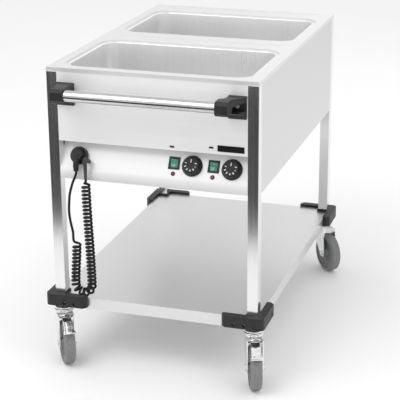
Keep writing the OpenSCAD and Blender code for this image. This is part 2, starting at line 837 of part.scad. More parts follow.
module drain_valves() {
    color("goldenrod") in_frame() for (y = [well_y_front, well_y_rear]) translate([0, y, 0]) difference() {
        union() {
            translate([0, 0, valve_high - 1])
                cylinder(r = drain_r, h = well_floor - well_t - valve_high + 1);
            translate([-valve_w / 2, -valve_w / 2, valve_low])
                cube([valve_w, valve_w, valve_high - valve_low]);
            translate([0, 0, nozzle_low]) cylinder(r = drain_r, h = valve_low - nozzle_low + 1);
            translate([0, -valve_w / 2 + 1, valve_z]) rotate([90, 0, 0]) cylinder(r = 8, h = 7);
        }
        translate([0, 0, nozzle_low - 1]) cylinder(r = drain_r - drain_wall, h = well_floor - nozzle_low + 1);
        translate([0, 0, valve_z]) rotate([90, 0, 0]) cylinder(r = lever_pin_r + run_fit, h = valve_w);
    }
}

module drain_lever(y) {
    color("firebrick") in_frame() translate([0, y, valve_z]) {
        rotate([90, 0, 0]) translate([0, 0, drain_r]) cylinder(r = lever_pin_r, h = lever_y - drain_r);
        translate([-lever_w / 2, -lever_y - 3, -lever_w / 2]) cube([lever_l, 4, lever_w]);
    }
}

// ---- plug, outlet and cord ----

module plug_holder() {
    color("black") in_frame() on_slant() translate([holder_x, control_u, 0]) difference() {
        cylinder(r = holder_r, h = holder_h);
        translate([0, 0, plug_z0]) cylinder(r = plug_r + seat_gap, h = holder_h);
        translate([-plug_neck_r - 2, -holder_r - 5, plug_neck_z - plug_neck_r - 1])
            cube([2 * plug_neck_r + 4, holder_r, 2 * plug_neck_r + 2]);
        for (s = [-1, 1]) translate([s * pin_pitch / 2, 0, -1]) cylinder(r = pin_r + slip, h = 5);
    }
}

// Parked in its holder, the cord leaves it downwards
module mains_plug() {
    elbow_r = plug_elbow_r;
    color("dimgray") in_frame() {
        on_slant() translate([holder_x, control_u, 0]) {
            translate([0, 0, plug_z0]) cylinder(r = plug_r, h = plug_z1 - plug_z0);
            translate([0, 0, plug_neck_z]) rotate([90, 0, 0])
                cylinder(r1 = plug_neck_r, r2 = elbow_r - 0.2, h = control_u - plug_elbow_u);
            for (s = [-1, 1]) translate([s * pin_pitch / 2, 0, plug_z0 - pin_l])
                cylinder(r = pin_r, h = pin_l + 1);
        }
        translate([holder_x, plug_tip_y, plug_elbow_z]) sphere(r = elbow_r);
        translate([holder_x, plug_tip_y, plug_tip_z])
            cylinder(r1 = plug_tip_r, r2 = elbow_r - 0.5, h = plug_elbow_z - plug_tip_z);
    }
}

module cord_gland() {
    color("dimgray") in_frame() {
        on_slant() translate([gland_x, gland_u, 0]) {
            cylinder(r = gland_r, h = gland_reach);
            translate([0, 0, -8]) cylinder(r = gland_root_r, h = 9);
        }
        translate([gland_x, coil_y, boot_top_z]) sphere(r = gland_r + 0.4);
        translate([gland_x, coil_y, boot_low_z])
            cylinder(r1 = boot_tip_r, r2 = gland_r - 0.4, h = boot_top_z - boot_low_z);
    }
}

function smooth(t) = t * t * (3 - 2 * t);

// Middle line of the hanging coil at length s: [x, z, outward x, outward z]
function coil_line(s) =
    let (right_x = bend_x + bend_r, left_x = bend_x - bend_r)
    s <= down_len
        ? [gland_x + (right_x - gland_x) * smooth(max(0, s) / down_len),
           boot_low_z - cord_d - s, 1, 0]
    : s <= down_len + bend_len
        ? let (a = (s - down_len) / bend_r * 180 / PI)
          [bend_x + bend_r * cos(a), bend_z - bend_r * sin(a), cos(a), -sin(a)]
        : let (u = s - down_len - bend_len)
          [left_x + up_drift * smooth(min(1, u / up_len)), bend_z + u, -1, 0];

// Length along the middle line after c curls
function curl_s(c) =
    c <= curls_down ? down_len * c / curls_down
    : c <= curls_down + curls_bend ? down_len + bend_len * (c - curls_down) / curls_bend
    : down_len + bend_len + up_len * (c - curls_down - curls_bend) / curls_up;

// Centre of the cord after c curls; the last half curl unwinds on the outer side
function curl_point(c) =
    let (loose = c - curls + 0.5, e = max(0, loose),
         angle = 360 * (loose - e * e) - 90,
         m = coil_line(curl_s(c) + 4 * lead_len * e * e),
         r = curl_r * smooth(min(1, c)))
    [m[0] + r * cos(angle) * m[2], coil_y - r * sin(angle), m[1] + r * cos(angle) * m[3]];

coil_end = curl_point(curls) + [0, 0, cord_d];

function coil_points() = concat(
    [[gland_x, coil_y, boot_low_z], [gland_x, coil_y, boot_low_z - cord_d / 2]],
    [for (i = [0:curls * rings_per_curl]) curl_point(i / rings_per_curl)],
    [coil_end - [0, 0, cord_d / 2], coil_end]
);

function tail_path() =
    let (tip = [holder_x, plug_tip_y, plug_tip_z], low = coil_end[2] + cord_d)
    concat(
        [coil_end, coil_end + [0, 0, cord_d]],
        [for (p = tail_points) [tip[0] + p[0], tip[1] + p[1], low + p[2] * (tip[2] - cord_d - low)]],
        [tip - [0, 0, cord_d], tip]
    );

// Sweeps a tube of n sides along points, its rings square to the path
module tube(pts, d, n, triangles) {
    last = len(pts) - 1;
    dirs = [for (i = [0:last])
        unit(i == 0 ? pts[1] - pts[0] : i == last ? pts[last] - pts[last - 1] : pts[i + 1] - pts[i - 1])];
    // Frames are carried along by turning each into the next
    frames = carried(dirs);
    rings = [for (i = [0:last], k = [0:n - 1])
        let (u = frames[i], v = cross(dirs[i], u), a = 360 * k / n)
        pts[i] + d / 2 * (cos(a) * u + sin(a) * v)];
    sides = [for (i = [0:last - 1], k = [0:n - 1])
        let (a = i * n + k, b = i * n + (k + 1) % n, c = b + n, e = a + n)
        each [[a, c, b], [a, e, c]]];
    caps = [for (k = [1:n - 2]) each [[0, k, k + 1],
        [last * n, last * n + k + 1, last * n + k]]];
    polyhedron(rings, concat(sides, caps));
}

// The side vectors of a tube's rings, each kept square to its own direction
function carried(dirs) = [
    for (i = 0, u = first_side(dirs[0]); i < len(dirs);
         i = i + 1, u = i < len(dirs) ? unit(u - (u * dirs[i]) * dirs[i]) : u) u
];
function first_side(d) = unit(cross(d, [0, 1, 0.001]));

// Least distance between turns, less the cord's own diameter
function least_gap(pts, near, far) = min([
    for (i = [0:len(pts) - 1], j = [i + near:min(len(pts) - 1, i + far)]) norm(pts[i] - pts[j])
]) - cord_d;

function path_length(pts) = len(pts) < 2 ? 0
    : [for (i = 1, l = norm(pts[1] - pts[0]); i < len(pts);
            i = i + 1, l = i < len(pts) ? l + norm(pts[i] - pts[i - 1]) : l) l][len(pts) - 2];

module cord_coil() {
    fine = 24;
    samples = [for (i = [0:curls * fine]) curl_point(i / fine)];
    echo(coil_gap_to_itself = least_gap(samples, fine * 2 / 3, 2 * fine),
         cord_length_of_coil = path_length(samples), coil_end = coil_end);
    color("black") in_frame() tube(coil_points(), cord_d, cord_sides);
}

module cord_tail() {
    echo(cord_length_of_tail = path_length(tail_path()));
    color("black") in_frame() tube(tail_path(), cord_d, tail_sides);
}

leg(0);  // leg_front_left
leg(1);  // leg_front_right
leg(2);  // leg_rear_left
leg(3);  // leg_rear_right
shelf();
bumper(0);  // bumper_front_left
bumper(1);  // bumper_front_right
bumper(2);  // bumper_rear_left
bumper(3);  // bumper_rear_right
bumper_screws();
worktop();
well(well_y_front);  // well_front
well(well_y_rear);  // well_rear
front_panel();
rear_panel();
side_panel(-1);  // side_panel_left
side_panel(1);  // side_panel_right
control_panel();
floor_pan();
heating_plates();
thermostats();
switch_housings();
pilot_lamps();
panel_plugs();
name_plate();
handle_bar();
handle_bracket(-1);  // handle_bracket_left
handle_bracket(1);  // handle_bracket_right
handle_screws();
plug_holder();
cord_gland();
cord_coil();
cord_tail();
mains_plug();
castor_heads();
drain_valves();
fork(0);  // fork_front_left
fork(1);  // fork_front_right
fork(2);  // fork_rear_left
fork(3);  // fork_rear_right
axle(0);  // axle_front_left
axle(1);  // axle_front_right
axle(2);  // axle_rear_left
axle(3);  // axle_rear_right
hub(0);  // hub_front_left
hub(1);  // hub_front_right
hub(2);  // hub_rear_left
hub(3);  // hub_rear_right
tyre(0);  // tyre_front_left
tyre(1);  // tyre_front_right
tyre(2);  // tyre_rear_left
tyre(3);  // tyre_rear_right
pedal(0);  // pedal_front_left
pedal(1);  // pedal_front_right
knob(0);  // knob_left
knob(1);  // knob_right
rocker(0);  // rocker_left
rocker(1);  // rocker_right
drain_lever(well_y_front);  // drain_lever_front
drain_lever(well_y_rear);  // drain_lever_rear
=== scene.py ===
import json
import math

import bpy
import numpy as np
from mathutils import Matrix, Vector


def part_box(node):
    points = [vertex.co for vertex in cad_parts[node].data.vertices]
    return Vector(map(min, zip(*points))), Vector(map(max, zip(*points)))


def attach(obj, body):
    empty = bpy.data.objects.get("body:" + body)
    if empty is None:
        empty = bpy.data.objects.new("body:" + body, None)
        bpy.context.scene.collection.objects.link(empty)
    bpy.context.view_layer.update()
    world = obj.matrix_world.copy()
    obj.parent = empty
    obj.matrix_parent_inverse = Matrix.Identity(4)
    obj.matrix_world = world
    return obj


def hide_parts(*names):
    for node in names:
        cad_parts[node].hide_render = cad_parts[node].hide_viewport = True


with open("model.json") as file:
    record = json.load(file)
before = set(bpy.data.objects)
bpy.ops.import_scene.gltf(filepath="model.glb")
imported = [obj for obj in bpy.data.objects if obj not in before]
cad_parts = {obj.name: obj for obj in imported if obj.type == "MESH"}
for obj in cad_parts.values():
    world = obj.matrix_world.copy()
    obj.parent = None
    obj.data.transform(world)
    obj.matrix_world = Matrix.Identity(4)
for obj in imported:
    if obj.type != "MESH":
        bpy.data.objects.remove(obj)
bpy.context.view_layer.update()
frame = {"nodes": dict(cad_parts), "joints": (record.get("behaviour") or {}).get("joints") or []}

nodes = frame["nodes"]
joints = {joint["name"]: joint for joint in frame["joints"]}
mm = 0.001
corners = ("front_left", "front_right", "rear_left", "rear_right")
rightward = np.array([1.0, 0, 0])
print("frame loaded")

camera = {
    "place": (1.1273, -3.4867, 1.6753),
    "turn": 0.2875,        # radians to the left of straight ahead
    "tilt": 0.3158,        # radians downwards
    "focal": 1292.7,       # in photo pixels
    "photoWidth": 400,
    "filmWidth": 36,       # in millimetres, as Blender's own
    "middle": (230, 165),  # the pixel the lens looks at
}


def makeCamera(c):
    data = bpy.data.cameras.new("camera")
    made = bpy.data.objects.new("camera", data)
    bpy.context.scene.collection.objects.link(made)
    made.location = c["place"]
    made.rotation_euler = (math.pi / 2 - c["tilt"], 0, c["turn"])
    data.sensor_width = c["filmWidth"]
    data.lens = c["filmWidth"] * c["focal"] / c["photoWidth"]
    data.shift_x = 0.5 - c["middle"][0] / c["photoWidth"]
    data.shift_y = c["middle"][1] / c["photoWidth"] - 0.5
    bpy.context.scene.camera = made
    print("camera placed")


makeCamera(camera)


def unitRows(v):
    return v / np.linalg.norm(v, axis=-1, keepdims=True)


# Goes from 0 to 1 as t does, level at both ends, and stays there outside
def smooth(t):
    t = np.clip(t, 0, 1)
    return t * t * (3 - 2 * t)


# A mesh from a grid of points: rows run one way, columns the other, either may close on itself.
# The UV map counts the grid from 0 to 1 in both directions.
def gridMesh(name, points, closeRows=False, closeColumns=False, capEnds=False):
    rows, columns = points.shape[:2]
    index = np.arange(rows * columns).reshape(rows, columns)
    if closeRows:
        index = np.vstack([index, index[:1]])
    if closeColumns:
        index = np.hstack([index, index[:, :1]])
    faces = np.stack([index[:-1, :-1], index[:-1, 1:], index[1:, 1:], index[1:, :-1]], -1).reshape(-1, 4)
    r, c = np.meshgrid(np.arange(index.shape[0] - 1), np.arange(index.shape[1] - 1), indexing="ij")
    corner = np.stack([np.stack([c, r], -1), np.stack([c + 1, r], -1),
                       np.stack([c + 1, r + 1], -1), np.stack([c, r + 1], -1)], 2).reshape(-1, 2)
    uv = corner / [index.shape[1] - 1, index.shape[0] - 1]
    polygons = faces.tolist()
    if capEnds:
        polygons += [index[0, :columns].tolist()[::-1], index[-1, :columns].tolist()]
        uv = np.vstack([uv, np.zeros((2 * columns, 2))])
    mesh = bpy.data.meshes.new(name)
    mesh.from_pydata(points.reshape(-1, 3).tolist(), [], polygons)
    layer = mesh.uv_layers.new(name="UVMap")
    layer.data.foreach_set("uv", uv.astype(np.float32).ravel())
    mesh.shade_smooth()
    return addObject(name, mesh)


def addObject(name, mesh):
    made = bpy.data.objects.new(name, mesh)
    bpy.context.scene.collection.objects.link(made)
    return made


# A tube of round section along points, each ring square to the path. A ring's sideways direction
# is the last one's, turned as little as the path turns.
def sweepTube(name, path, radius, sides=12):
    along = unitRows(np.gradient(path, axis=0))
    side = np.empty_like(path)
    side[0] = unitRows(np.cross(along[0], [0.01, 1, 0]))
    for i in range(1, len(path)):
        side[i] = unitRows(side[i - 1] - (side[i - 1] @ along[i]) * along[i])
    up = np.cross(along, side)
    a = np.linspace(0, 2 * math.pi, sides, endpoint=False)
    radius = np.broadcast_to(np.asarray(radius, float), (len(path),))[:, None, None]
    rings = path[:, None] + radius * (np.cos(a)[None, :, None] * side[:, None]
                                      + np.sin(a)[None, :, None] * up[:, None])
    return gridMesh(name, rings, closeColumns=True, capEnds=True)


# A profile of (radius, height) points turned about an axis through a place
def turned(name, profile, place, axis=(0, 0, 1), steps=64):
    profile = np.asarray(profile, float)
    z = unitRows(np.asarray(axis, float))
    x = unitRows(np.cross([0.3, 0.9, 0.2], z))
    y = np.cross(z, x)
    a = np.linspace(0, 2 * math.pi, steps, endpoint=False)
    ring = np.cos(a)[:, None] * x + np.sin(a)[:, None] * y
    points = np.asarray(place, float) + profile[:, None, :1] * ring[None] + profile[:, None, 1:] * z
    return gridMesh(name, points, closeColumns=True, capEnds=True)


# Rounds the corners of an outline: each gets a parabola that starts and ends the given reach away
def rounded(profile, reach, steps=5):
    p = np.asarray(profile, float)
    out = [p[:1]]
    t = np.linspace(0, 1, steps)[:, None]
    for before, corner, after in zip(p[:-2], p[1:-1], p[2:]):
        far = min(reach, np.linalg.norm(before - corner) / 2, np.linalg.norm(after - corner) / 2)
        start = corner + far * unitRows(before - corner)
        end = corner + far * unitRows(after - corner)
        out.append((1 - t) ** 2 * start + 2 * t * (1 - t) * corner + t ** 2 * end)
    return np.vstack(out + [p[-1:]])


# Catmull-Rom curve through given points, evenly dense between them
def curveThrough(points, perSpan=10):
    p = np.asarray(points, float)
    p = np.vstack([2 * p[0] - p[1], p, 2 * p[-1] - p[-2]])
    t = np.linspace(0, 1, perSpan, endpoint=False)[:, None]
    spans = [0.5 * (2 * b + (c - a) * t + (2 * a - 5 * b + 4 * c - d) * t ** 2
                    + (3 * b - a - 3 * c + d) * t ** 3)
             for a, b, c, d in zip(p[:-3], p[1:-2], p[2:-1], p[3:])]
    return np.vstack(spans + [p[-2:-1]])


def lengthOf(path):
    return float(np.linalg.norm(np.diff(path, axis=0), axis=1).sum())


body = {
    "shiftY": 41 * mm,           # its middle from the frame's origin
    "frontY": -450 * mm,         # its front from that middle
    "foldZ": 574 * mm,           # height of the fold where the slanted panel starts
    "slant": math.radians(29),   # how far the panel leans back from upright
}

cord = {
    "diameter": 7 * mm,
    "curlRadius": 9.8 * mm,
    "curlsDown": 28,
    "curlsBend": 5.5,
    "curlsUp": 11,
    "outlet": (-185 * mm, 25 * mm, 32 * mm),   # across, up the slant, out of it
    "bootLow": 556 * mm,                       # height where the bend protection ends
    "bendMiddle": (-201 * mm, 245 * mm),       # across, height
    "bendRadius": 24 * mm,
    "upLength": 122 * mm,
    "drift": 7 * mm,                           # how far the stretch up leans inwards
    "leadLength": 14 * mm,                     # over which the last curl straightens
    "holder": (-213 * mm, 38 * mm),            # across, up the slant
    "plugElbow": (6 * mm, 19 * mm),            # up the slant, out of it
    "plugTip": 575 * mm,                       # height where the cord enters the plug
    "eased": (30, 60),                         # points from the outlet, rounds
    # the straight stretch to the plug: across and along from the plug's tip in millimetres, and its
    # height as a share of the way up to that tip
    "tail": [(-16, -2, 0.04), (-19, -2, 0.12), (-22, -2, 0.21), (-24, -2, 0.32), (-24, -2, 0.42),
             (-23, -1, 0.53), (-21, -1, 0.63), (-17, 0, 0.73), (-11, 0, 0.84), (-4, 0, 0.93)],
}


# A place on the slanted panel: across, up the slant, out of it
def onSlant(x, up=0.0, out=0.0):
    s = body["slant"]
    return np.array([x, body["shiftY"] + body["frontY"] + up * math.sin(s) - out * math.cos(s),
                     body["foldZ"] + up * math.cos(s) + out * math.sin(s)])


slantOut = np.array([0, -math.cos(body["slant"]), math.sin(body["slant"])])
slantUp = np.array([0, math.sin(body["slant"]), math.cos(body["slant"])])
outletPoint = onSlant(*cord["outlet"])
plugPoint = onSlant(cord["holder"][0], *cord["plugElbow"])


# Lengths of the coil's stretch down and of its half circle
def coilStretches(c):
    return c["bootLow"] - c["diameter"] - c["bendMiddle"][1], math.pi * c["bendRadius"]


# The coil winds about a line that runs down, round a half circle and up again
def coilLine(s, c):
    middleX, middleZ = c["bendMiddle"]
    bend = c["bendRadius"]
    start = c["outlet"][0]
    down, around = coilStretches(c)
    a = np.clip((s - down) / bend, 0, math.pi)
    up = s - down - around
    x = np.where(s <= down, start + (middleX + bend - start) * smooth(s / down),
                 np.where(up <= 0, middleX + bend * np.cos(a),
                          middleX - bend + c["drift"] * smooth(up / c["upLength"])))
    z = np.where(s <= down, c["bootLow"] - c["diameter"] - s,
                 np.where(up <= 0, middleZ - bend * np.sin(a), middleZ + up))
    outward = np.stack([np.cos(a), 0 * a, -np.sin(a)], -1)
    return np.stack([x, 0 * x + outletPoint[1], z], -1), outward


# The curls: a helix about that line, whose radius grows in the first curl, and whose last half
# curl unwinds on the outer side until it runs straight up
def coilPath(c, perCurl=24):
    total = c["curlsDown"] + c["curlsBend"] + c["curlsUp"]
    curl = np.linspace(0, total, int(total * perCurl) + 1)
    down, around = coilStretches(c)
    s = np.interp(curl, [0, c["curlsDown"], c["curlsDown"] + c["curlsBend"], total],
                  [0, down, down + around, down + around + c["upLength"]])
    loose = curl - total + 0.5
    unwound = np.maximum(loose, 0)
    angle = 2 * math.pi * (loose - unwound ** 2) - math.pi / 2
    middle, outward = coilLine(s + 4 * c["leadLength"] * unwound ** 2, c)
    radius = (c["curlRadius"] * smooth(curl))[:, None]
    helix = middle + radius * (np.cos(angle)[:, None] * outward - np.sin(angle)[:, None] * [0, 1, 0])
    top = [(c["outlet"][0], outletPoint[1], c["bootLow"] - k * c["diameter"]) for k in (0, 0.5)]
    end = [helix[-1] + [0, 0, k * c["diameter"]] for k in (0.5, 1)]
    return np.vstack([top, helix, end])


# The stretch from the coil to the plug: straight for a diameter at each end, through the listed points
# between them
def tailPath(c, start):
    share = np.array(c["tail"])
    low, high = start[2] + c["diameter"], c["plugTip"] - c["diameter"]
    hand = np.column_stack([plugPoint[:2] + share[:, :2] * mm, low + share[:, 2] * (high - low)])
    tip = [(plugPoint[0], plugPoint[1], c["plugTip"] - k * c["diameter"]) for k in (1, 0)]
    return curveThrough(np.vstack([[start, start + [0, 0, c["diameter"]]], hand, tip]), 6)


# Opens the tight start of the first curl: its points move towards the middle of their neighbours,
# round by round, and less the farther along they are
def eased(path, c):
    reach, rounds = c["eased"]
    weight = 0.5 * np.clip((reach - np.arange(len(path))) / (0.4 * reach), 0, 1)[1:-1, None]
    points = path.copy()
    for _ in range(rounds):
        points[1:-1] += weight * (0.5 * (points[:-2] + points[2:]) - points[1:-1])
    return points


coil = eased(coilPath(cord), cord)
wholeCord = np.vstack([coil, tailPath(cord, coil[-1])[1:]])
cordPiece = sweepTube("curly_cord", wholeCord, cord["diameter"] / 2, sides=12)
print("cord made,", round(lengthOf(wholeCord), 3), "m")


# One socket of a material's nodes. Sums and products of wires add Math nodes.
class Wire:
    def __init__(self, tree, socket=None):
        self.tree = tree
        self.socket = socket

    def node(self, kind, settings=None, inputs=None, out=0):
        made = self.tree.nodes.new(kind)
        for name, value in (settings or {}).items():
            setattr(made, name, value)
        for name, value in (inputs or {}).items():
            if isinstance(value, Wire):
                self.tree.links.new(value.socket, made.inputs[name])
            else:
                made.inputs[name].default_value = value
        return Wire(self.tree, made.outputs[out])

    def __add__(self, other):
        return self.node("ShaderNodeMath", {"operation": "ADD"}, {0: self, 1: other})

    def __radd__(self, other):
        return self + other

    def __mul__(self, other):
        return self.node("ShaderNodeMath", {"operation": "MULTIPLY"}, {0: self, 1: other})

    def __rmul__(self, other):
        return self * other

    # Stretches the values from low to high over 0 to 1, and cuts off what lies outside
    def between(self, low, high):
        spread = self.node("ShaderNodeMapRange", None, {"Value": self, "From Min": low, "From Max": high})
        return self.node("ShaderNodeClamp", None, {0: spread})

    # The colour sockets of the Mix node come after those for single values and vectors
    def mix(self, first, second):
        return self.node("ShaderNodeMix", {"data_type": "RGBA"}, {0: self, 6: first, 7: second}, 2)


def rgb(r, g, b):
    return (r, g, b, 1.0)


def grey(v):
    return (v, v, v, 1.0)


# A material in the making: it gives places on the piece, noise and bumps, and ends with finish
class Paint:
    def __init__(self, name):
        self.material = bpy.data.materials.new(name)
        self.material.use_nodes = True
        self.tree = self.material.node_tree
        self.tree.nodes.clear()
        self.wire = Wire(self.tree)

    def place(self, scale=(1, 1, 1), kind="Object"):
        source = self.wire.node("ShaderNodeTexCoord", None, None, kind)
        return self.wire.node("ShaderNodeMapping", None, {"Vector": source, "Scale": scale})

    def noise(self, place, scale, detail=3.0, rough=0.5):
        return self.wire.node("ShaderNodeTexNoise", None,
                              {"Vector": place, "Scale": scale, "Detail": detail, "Roughness": rough})

    # A height of 1 stands for 0.3 mm in every material, and the strength lessens it
    def bump(self, height, strength):
        return self.wire.node("ShaderNodeBump", None,
                              {"Height": height, "Strength": strength, "Distance": 0.3 * mm})

    def finish(self, **sockets):
        names = {"colour": "Base Color", "metal": "Metallic", "rough": "Roughness", "normal": "Normal",
                 "coat": "Coat Weight", "coatRough": "Coat Roughness", "gloss": "Specular IOR Level",
                 "glow": "Emission Color", "glowPower": "Emission Strength"}
        values = {names[k]: v for k, v in sockets.items()}
        shader = self.wire.node("ShaderNodeBsdfPrincipled", None, values)
        out = self.tree.nodes.new("ShaderNodeOutputMaterial")
        self.tree.links.new(shader.socket, out.inputs["Surface"])
        return self.material


# Brushed sheet: long fine streaks along the grain, with faint wide clouds where hands have wiped it.
# A horizontal grain scatters light up and down, so such sheets look paler: metal is then less than 1
def brushedSteel(name, grain, tone, rough=0.28, contrast=0.1, metal=1.0, streak=0.05):
    paint = Paint(name)
    axis = "XYZ".index(grain)
    wide = [2.5 if i == axis else 140 for i in range(3)]
    fine = [12 if i == axis else 1300 for i in range(3)]
    streaks = paint.noise(paint.place(wide), 1.0, 4, 0.6)
    hair = paint.noise(paint.place(fine), 1.0, 2, 0.5)
    clouds = paint.noise(paint.place(), 5.0, 3, 0.5)
    level = (streaks * 0.45 + hair * 0.25 + clouds * 0.3).between(0.3, 0.7)
    low = grey(tone * (1 - contrast))
    high = grey(min(1.0, tone * (1 + contrast)))
    return paint.finish(colour=level.mix(low, high), metal=metal, normal=paint.bump(hair + streaks, streak),
                        rough=streaks * 0.12 + clouds * 0.1 + (rough - 0.11))


# Zinc plated pressings: bluish grey with soft blotches and a few darker specks
def zincPlate(name):
    paint = Paint(name)
    blotches = paint.noise(paint.place(), 60, 3, 0.6)
    specks = paint.noise(paint.place(), 420, 2, 0.5)
    base = blotches.between(0.35, 0.65).mix(rgb(0.76, 0.76, 0.77), grey(0.95))
    return paint.finish(colour=specks.between(0.66, 0.76).mix(base, grey(0.45)), metal=1.0,
                        rough=blotches * 0.18 + 0.12, normal=paint.bump(specks, 0.05))


# Ground tube: fine streaks along it, a little uneven, and a trace of finger marks
def groundTube(name):
    paint = Paint(name)
    streaks = paint.noise(paint.place((5, 420, 420)), 1.0, 3, 0.6)
    marks = paint.noise(paint.place(), 18, 3, 0.55)
    return paint.finish(colour=streaks.between(0.3, 0.7).mix(grey(0.36), grey(0.82)), metal=1.0,
                        rough=marks.between(0.45, 0.7) * 0.08 + 0.16, normal=paint.bump(streaks, 0.1))


# Moulded plastic: grained skin, a little dust in its hollows, faintly uneven colour
def mouldedPlastic(name, colour, rough, grain=900, depth=0.18, gloss=0.5):
    paint = Paint(name)
    skin = paint.noise(paint.place(), grain, 2, 0.5)
    dust = paint.noise(paint.place(), 35, 3, 0.6)
    pale = [min(1.0, c * 1.45 + 0.006) for c in colour]
    dark = [c * 0.85 for c in colour]
    return paint.finish(colour=dust.between(0.35, 0.75).mix(rgb(*dark), rgb(*pale)), gloss=gloss,
                        rough=skin * 0.12 + dust * 0.1 + (rough - 0.1), normal=paint.bump(skin, depth))


# Rubber of a wheel's tread: dull grey, scuffed lighter in patches
def treadRubber(name):
    paint = Paint(name)
    scuff = paint.noise(paint.place(), 160, 3, 0.5)
    pores = paint.noise(paint.place(), 800, 2, 0.5)
    return paint.finish(colour=scuff.between(0.35, 0.7).mix(grey(0.18), rgb(0.24, 0.24, 0.236)),
                        rough=scuff * 0.15 + 0.5, normal=paint.bump(pores, 0.2))


# Cord sheath: satin black with fine lines along it, taken from the tube's own UV map
def cordSheath(name):
    paint = Paint(name)
    lines = paint.noise(paint.place((900, 14, 1), kind="UV"), 1.0, 2, 0.5)
    bloom = paint.noise(paint.place(), 120, 2, 0.5)
    return paint.finish(colour=bloom.mix(grey(0.003), rgb(0.009, 0.009, 0.0085)), gloss=0.3,
                        rough=bloom * 0.15 + 0.34, normal=paint.bump(lines, 0.12))


# Glossy moulded lens: mottled between two depths of its colour, with a clear coat over it. Its colour can
# also be given out as a faint painted glow, which is painted light on a part that is no lamp
def lens(name, deep, bright, glow=0.0):
    paint = Paint(name)
    depth = paint.noise(paint.place(), 260, 2, 0.5)
    shade = depth.between(0.3, 0.7).mix(rgb(*deep), rgb(*bright))
    return paint.finish(colour=shade, rough=depth * 0.06 + 0.12, coat=0.6, coatRough=0.08,
                        glow=shade, glowPower=glow, normal=paint.bump(depth, 0.08))


# Cast and turned brass, browned in patches
def dullBrass(name):
    paint = Paint(name)
    patches = paint.noise(paint.place(), 45, 4, 0.6)
    grain = paint.noise(paint.place(), 900, 2, 0.5)
    shade = patches.between(0.35, 0.7).mix(rgb(0.42, 0.27, 0.1), rgb(0.74, 0.55, 0.26))
    return paint.finish(colour=shade, metal=1.0, rough=patches * 0.25 + 0.22, normal=paint.bump(grain, 0.15))


# Rolled aluminium plate: even streaks along Y
def plainAluminium(name):
    paint = Paint(name)
    rolled = paint.noise(paint.place((300, 6, 300)), 1.0, 3, 0.5)
    return paint.finish(colour=rolled.mix(grey(0.5), grey(0.66)), metal=1.0, rough=rolled * 0.2 + 0.3,
                        normal=paint.bump(rolled, 0.1))


# White marks printed on plastic, slightly worn
def printedWhite(name):
    paint = Paint(name)
    wear = paint.noise(paint.place(), 900, 3, 0.6)
    return paint.finish(colour=wear.between(0.55, 0.8).mix(grey(0.88), grey(0.6)), rough=wear * 0.1 + 0.4)


# Steels: grain along, tone, roughness, contrast of the streaks, metal and depth of the streaks.
# Plastics: colour, roughness, size and depth of the grain, gloss
def makeFinishes():
    return {
        "worktop": brushedSteel("worktop steel", "Y", 0.76, 0.36, 0.03, 0.5, 0.008),
        "wells": brushedSteel("well steel", "Z", 0.86, 0.3, 0.05, 0.8, 0.006),
        "front": brushedSteel("front steel", "X", 0.87, 0.45, 0.03, 0.35, 0.015),
        "rear": brushedSteel("rear steel", "X", 0.7, 0.4, 0.03, 0.6, 0.015),
        "sides": brushedSteel("side steel", "Y", 0.69, 0.36, 0.04, 0.8, 0.01),
        "legs": brushedSteel("leg steel", "Z", 0.82, 0.17, 0.05, 1.0, 0.008),
        "shelf": brushedSteel("shelf steel", "Y", 0.74, 0.32, 0.04, 0.75, 0.006),
        "panel": brushedSteel("control panel steel", "X", 0.73, 0.45, 0.03, 0.4, 0.015),
        "inside": brushedSteel("inner steel", "X", 0.6, 0.4, 0.08),
        "tube": groundTube("handle tube"),
        "zinc": zincPlate("zinc plate"),
        "screws": brushedSteel("screw steel", "X", 0.8, 0.35, 0.1, 0.7),
        "grey": mouldedPlastic("grey plastic", (0.011, 0.0115, 0.0105), 0.48, gloss=0.4),
        "black": mouldedPlastic("black plastic", (0.006, 0.006, 0.0057), 0.42, gloss=0.35),
        "boot": mouldedPlastic("boot rubber", (0.035, 0.035, 0.034), 0.55),
        "gloss": mouldedPlastic("glossy black plastic", (0.004, 0.004, 0.004), 0.3, 300, 0.03, gloss=0.3),
        # The green rocker caps get a faint painted glow: painted light, as they are no lamps
        "green": lens("green lens", (0.005, 0.13, 0.08), (0.03, 0.27, 0.18), 0.04),
        "red": lens("red lens", (0.1, 0.003, 0.002), (0.25, 0.01, 0.008)),
        "cord": cordSheath("cord sheath"),
        "tread": treadRubber("tyre rubber"),
        "hub": mouldedPlastic("wheel plastic", (0.17, 0.175, 0.18), 0.4),
        "brass": dullBrass("brass"),
        "aluminium": plainAluminium("rolled aluminium"),
        "lever": mouldedPlastic("red plastic", (0.32, 0.015, 0.012), 0.35),
        "print": printedWhite("white print"),
    }


finishes = makeFinishes()
print("finishes made:", len(finishes))


# Gives a new piece its finish, its material slot and its body, and hides the CAD nodes that it stands for
def dress(made, finish, ridesOn="frame", replaces=()):
    made.data.materials.clear()
    made.data.materials.append(finishes[finish])
    if replaces:
        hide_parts(*replaces)
    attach(made, ridesOn)
    return made


dress(cordPiece, "cord", "frame", ("cord_coil", "cord_tail"))

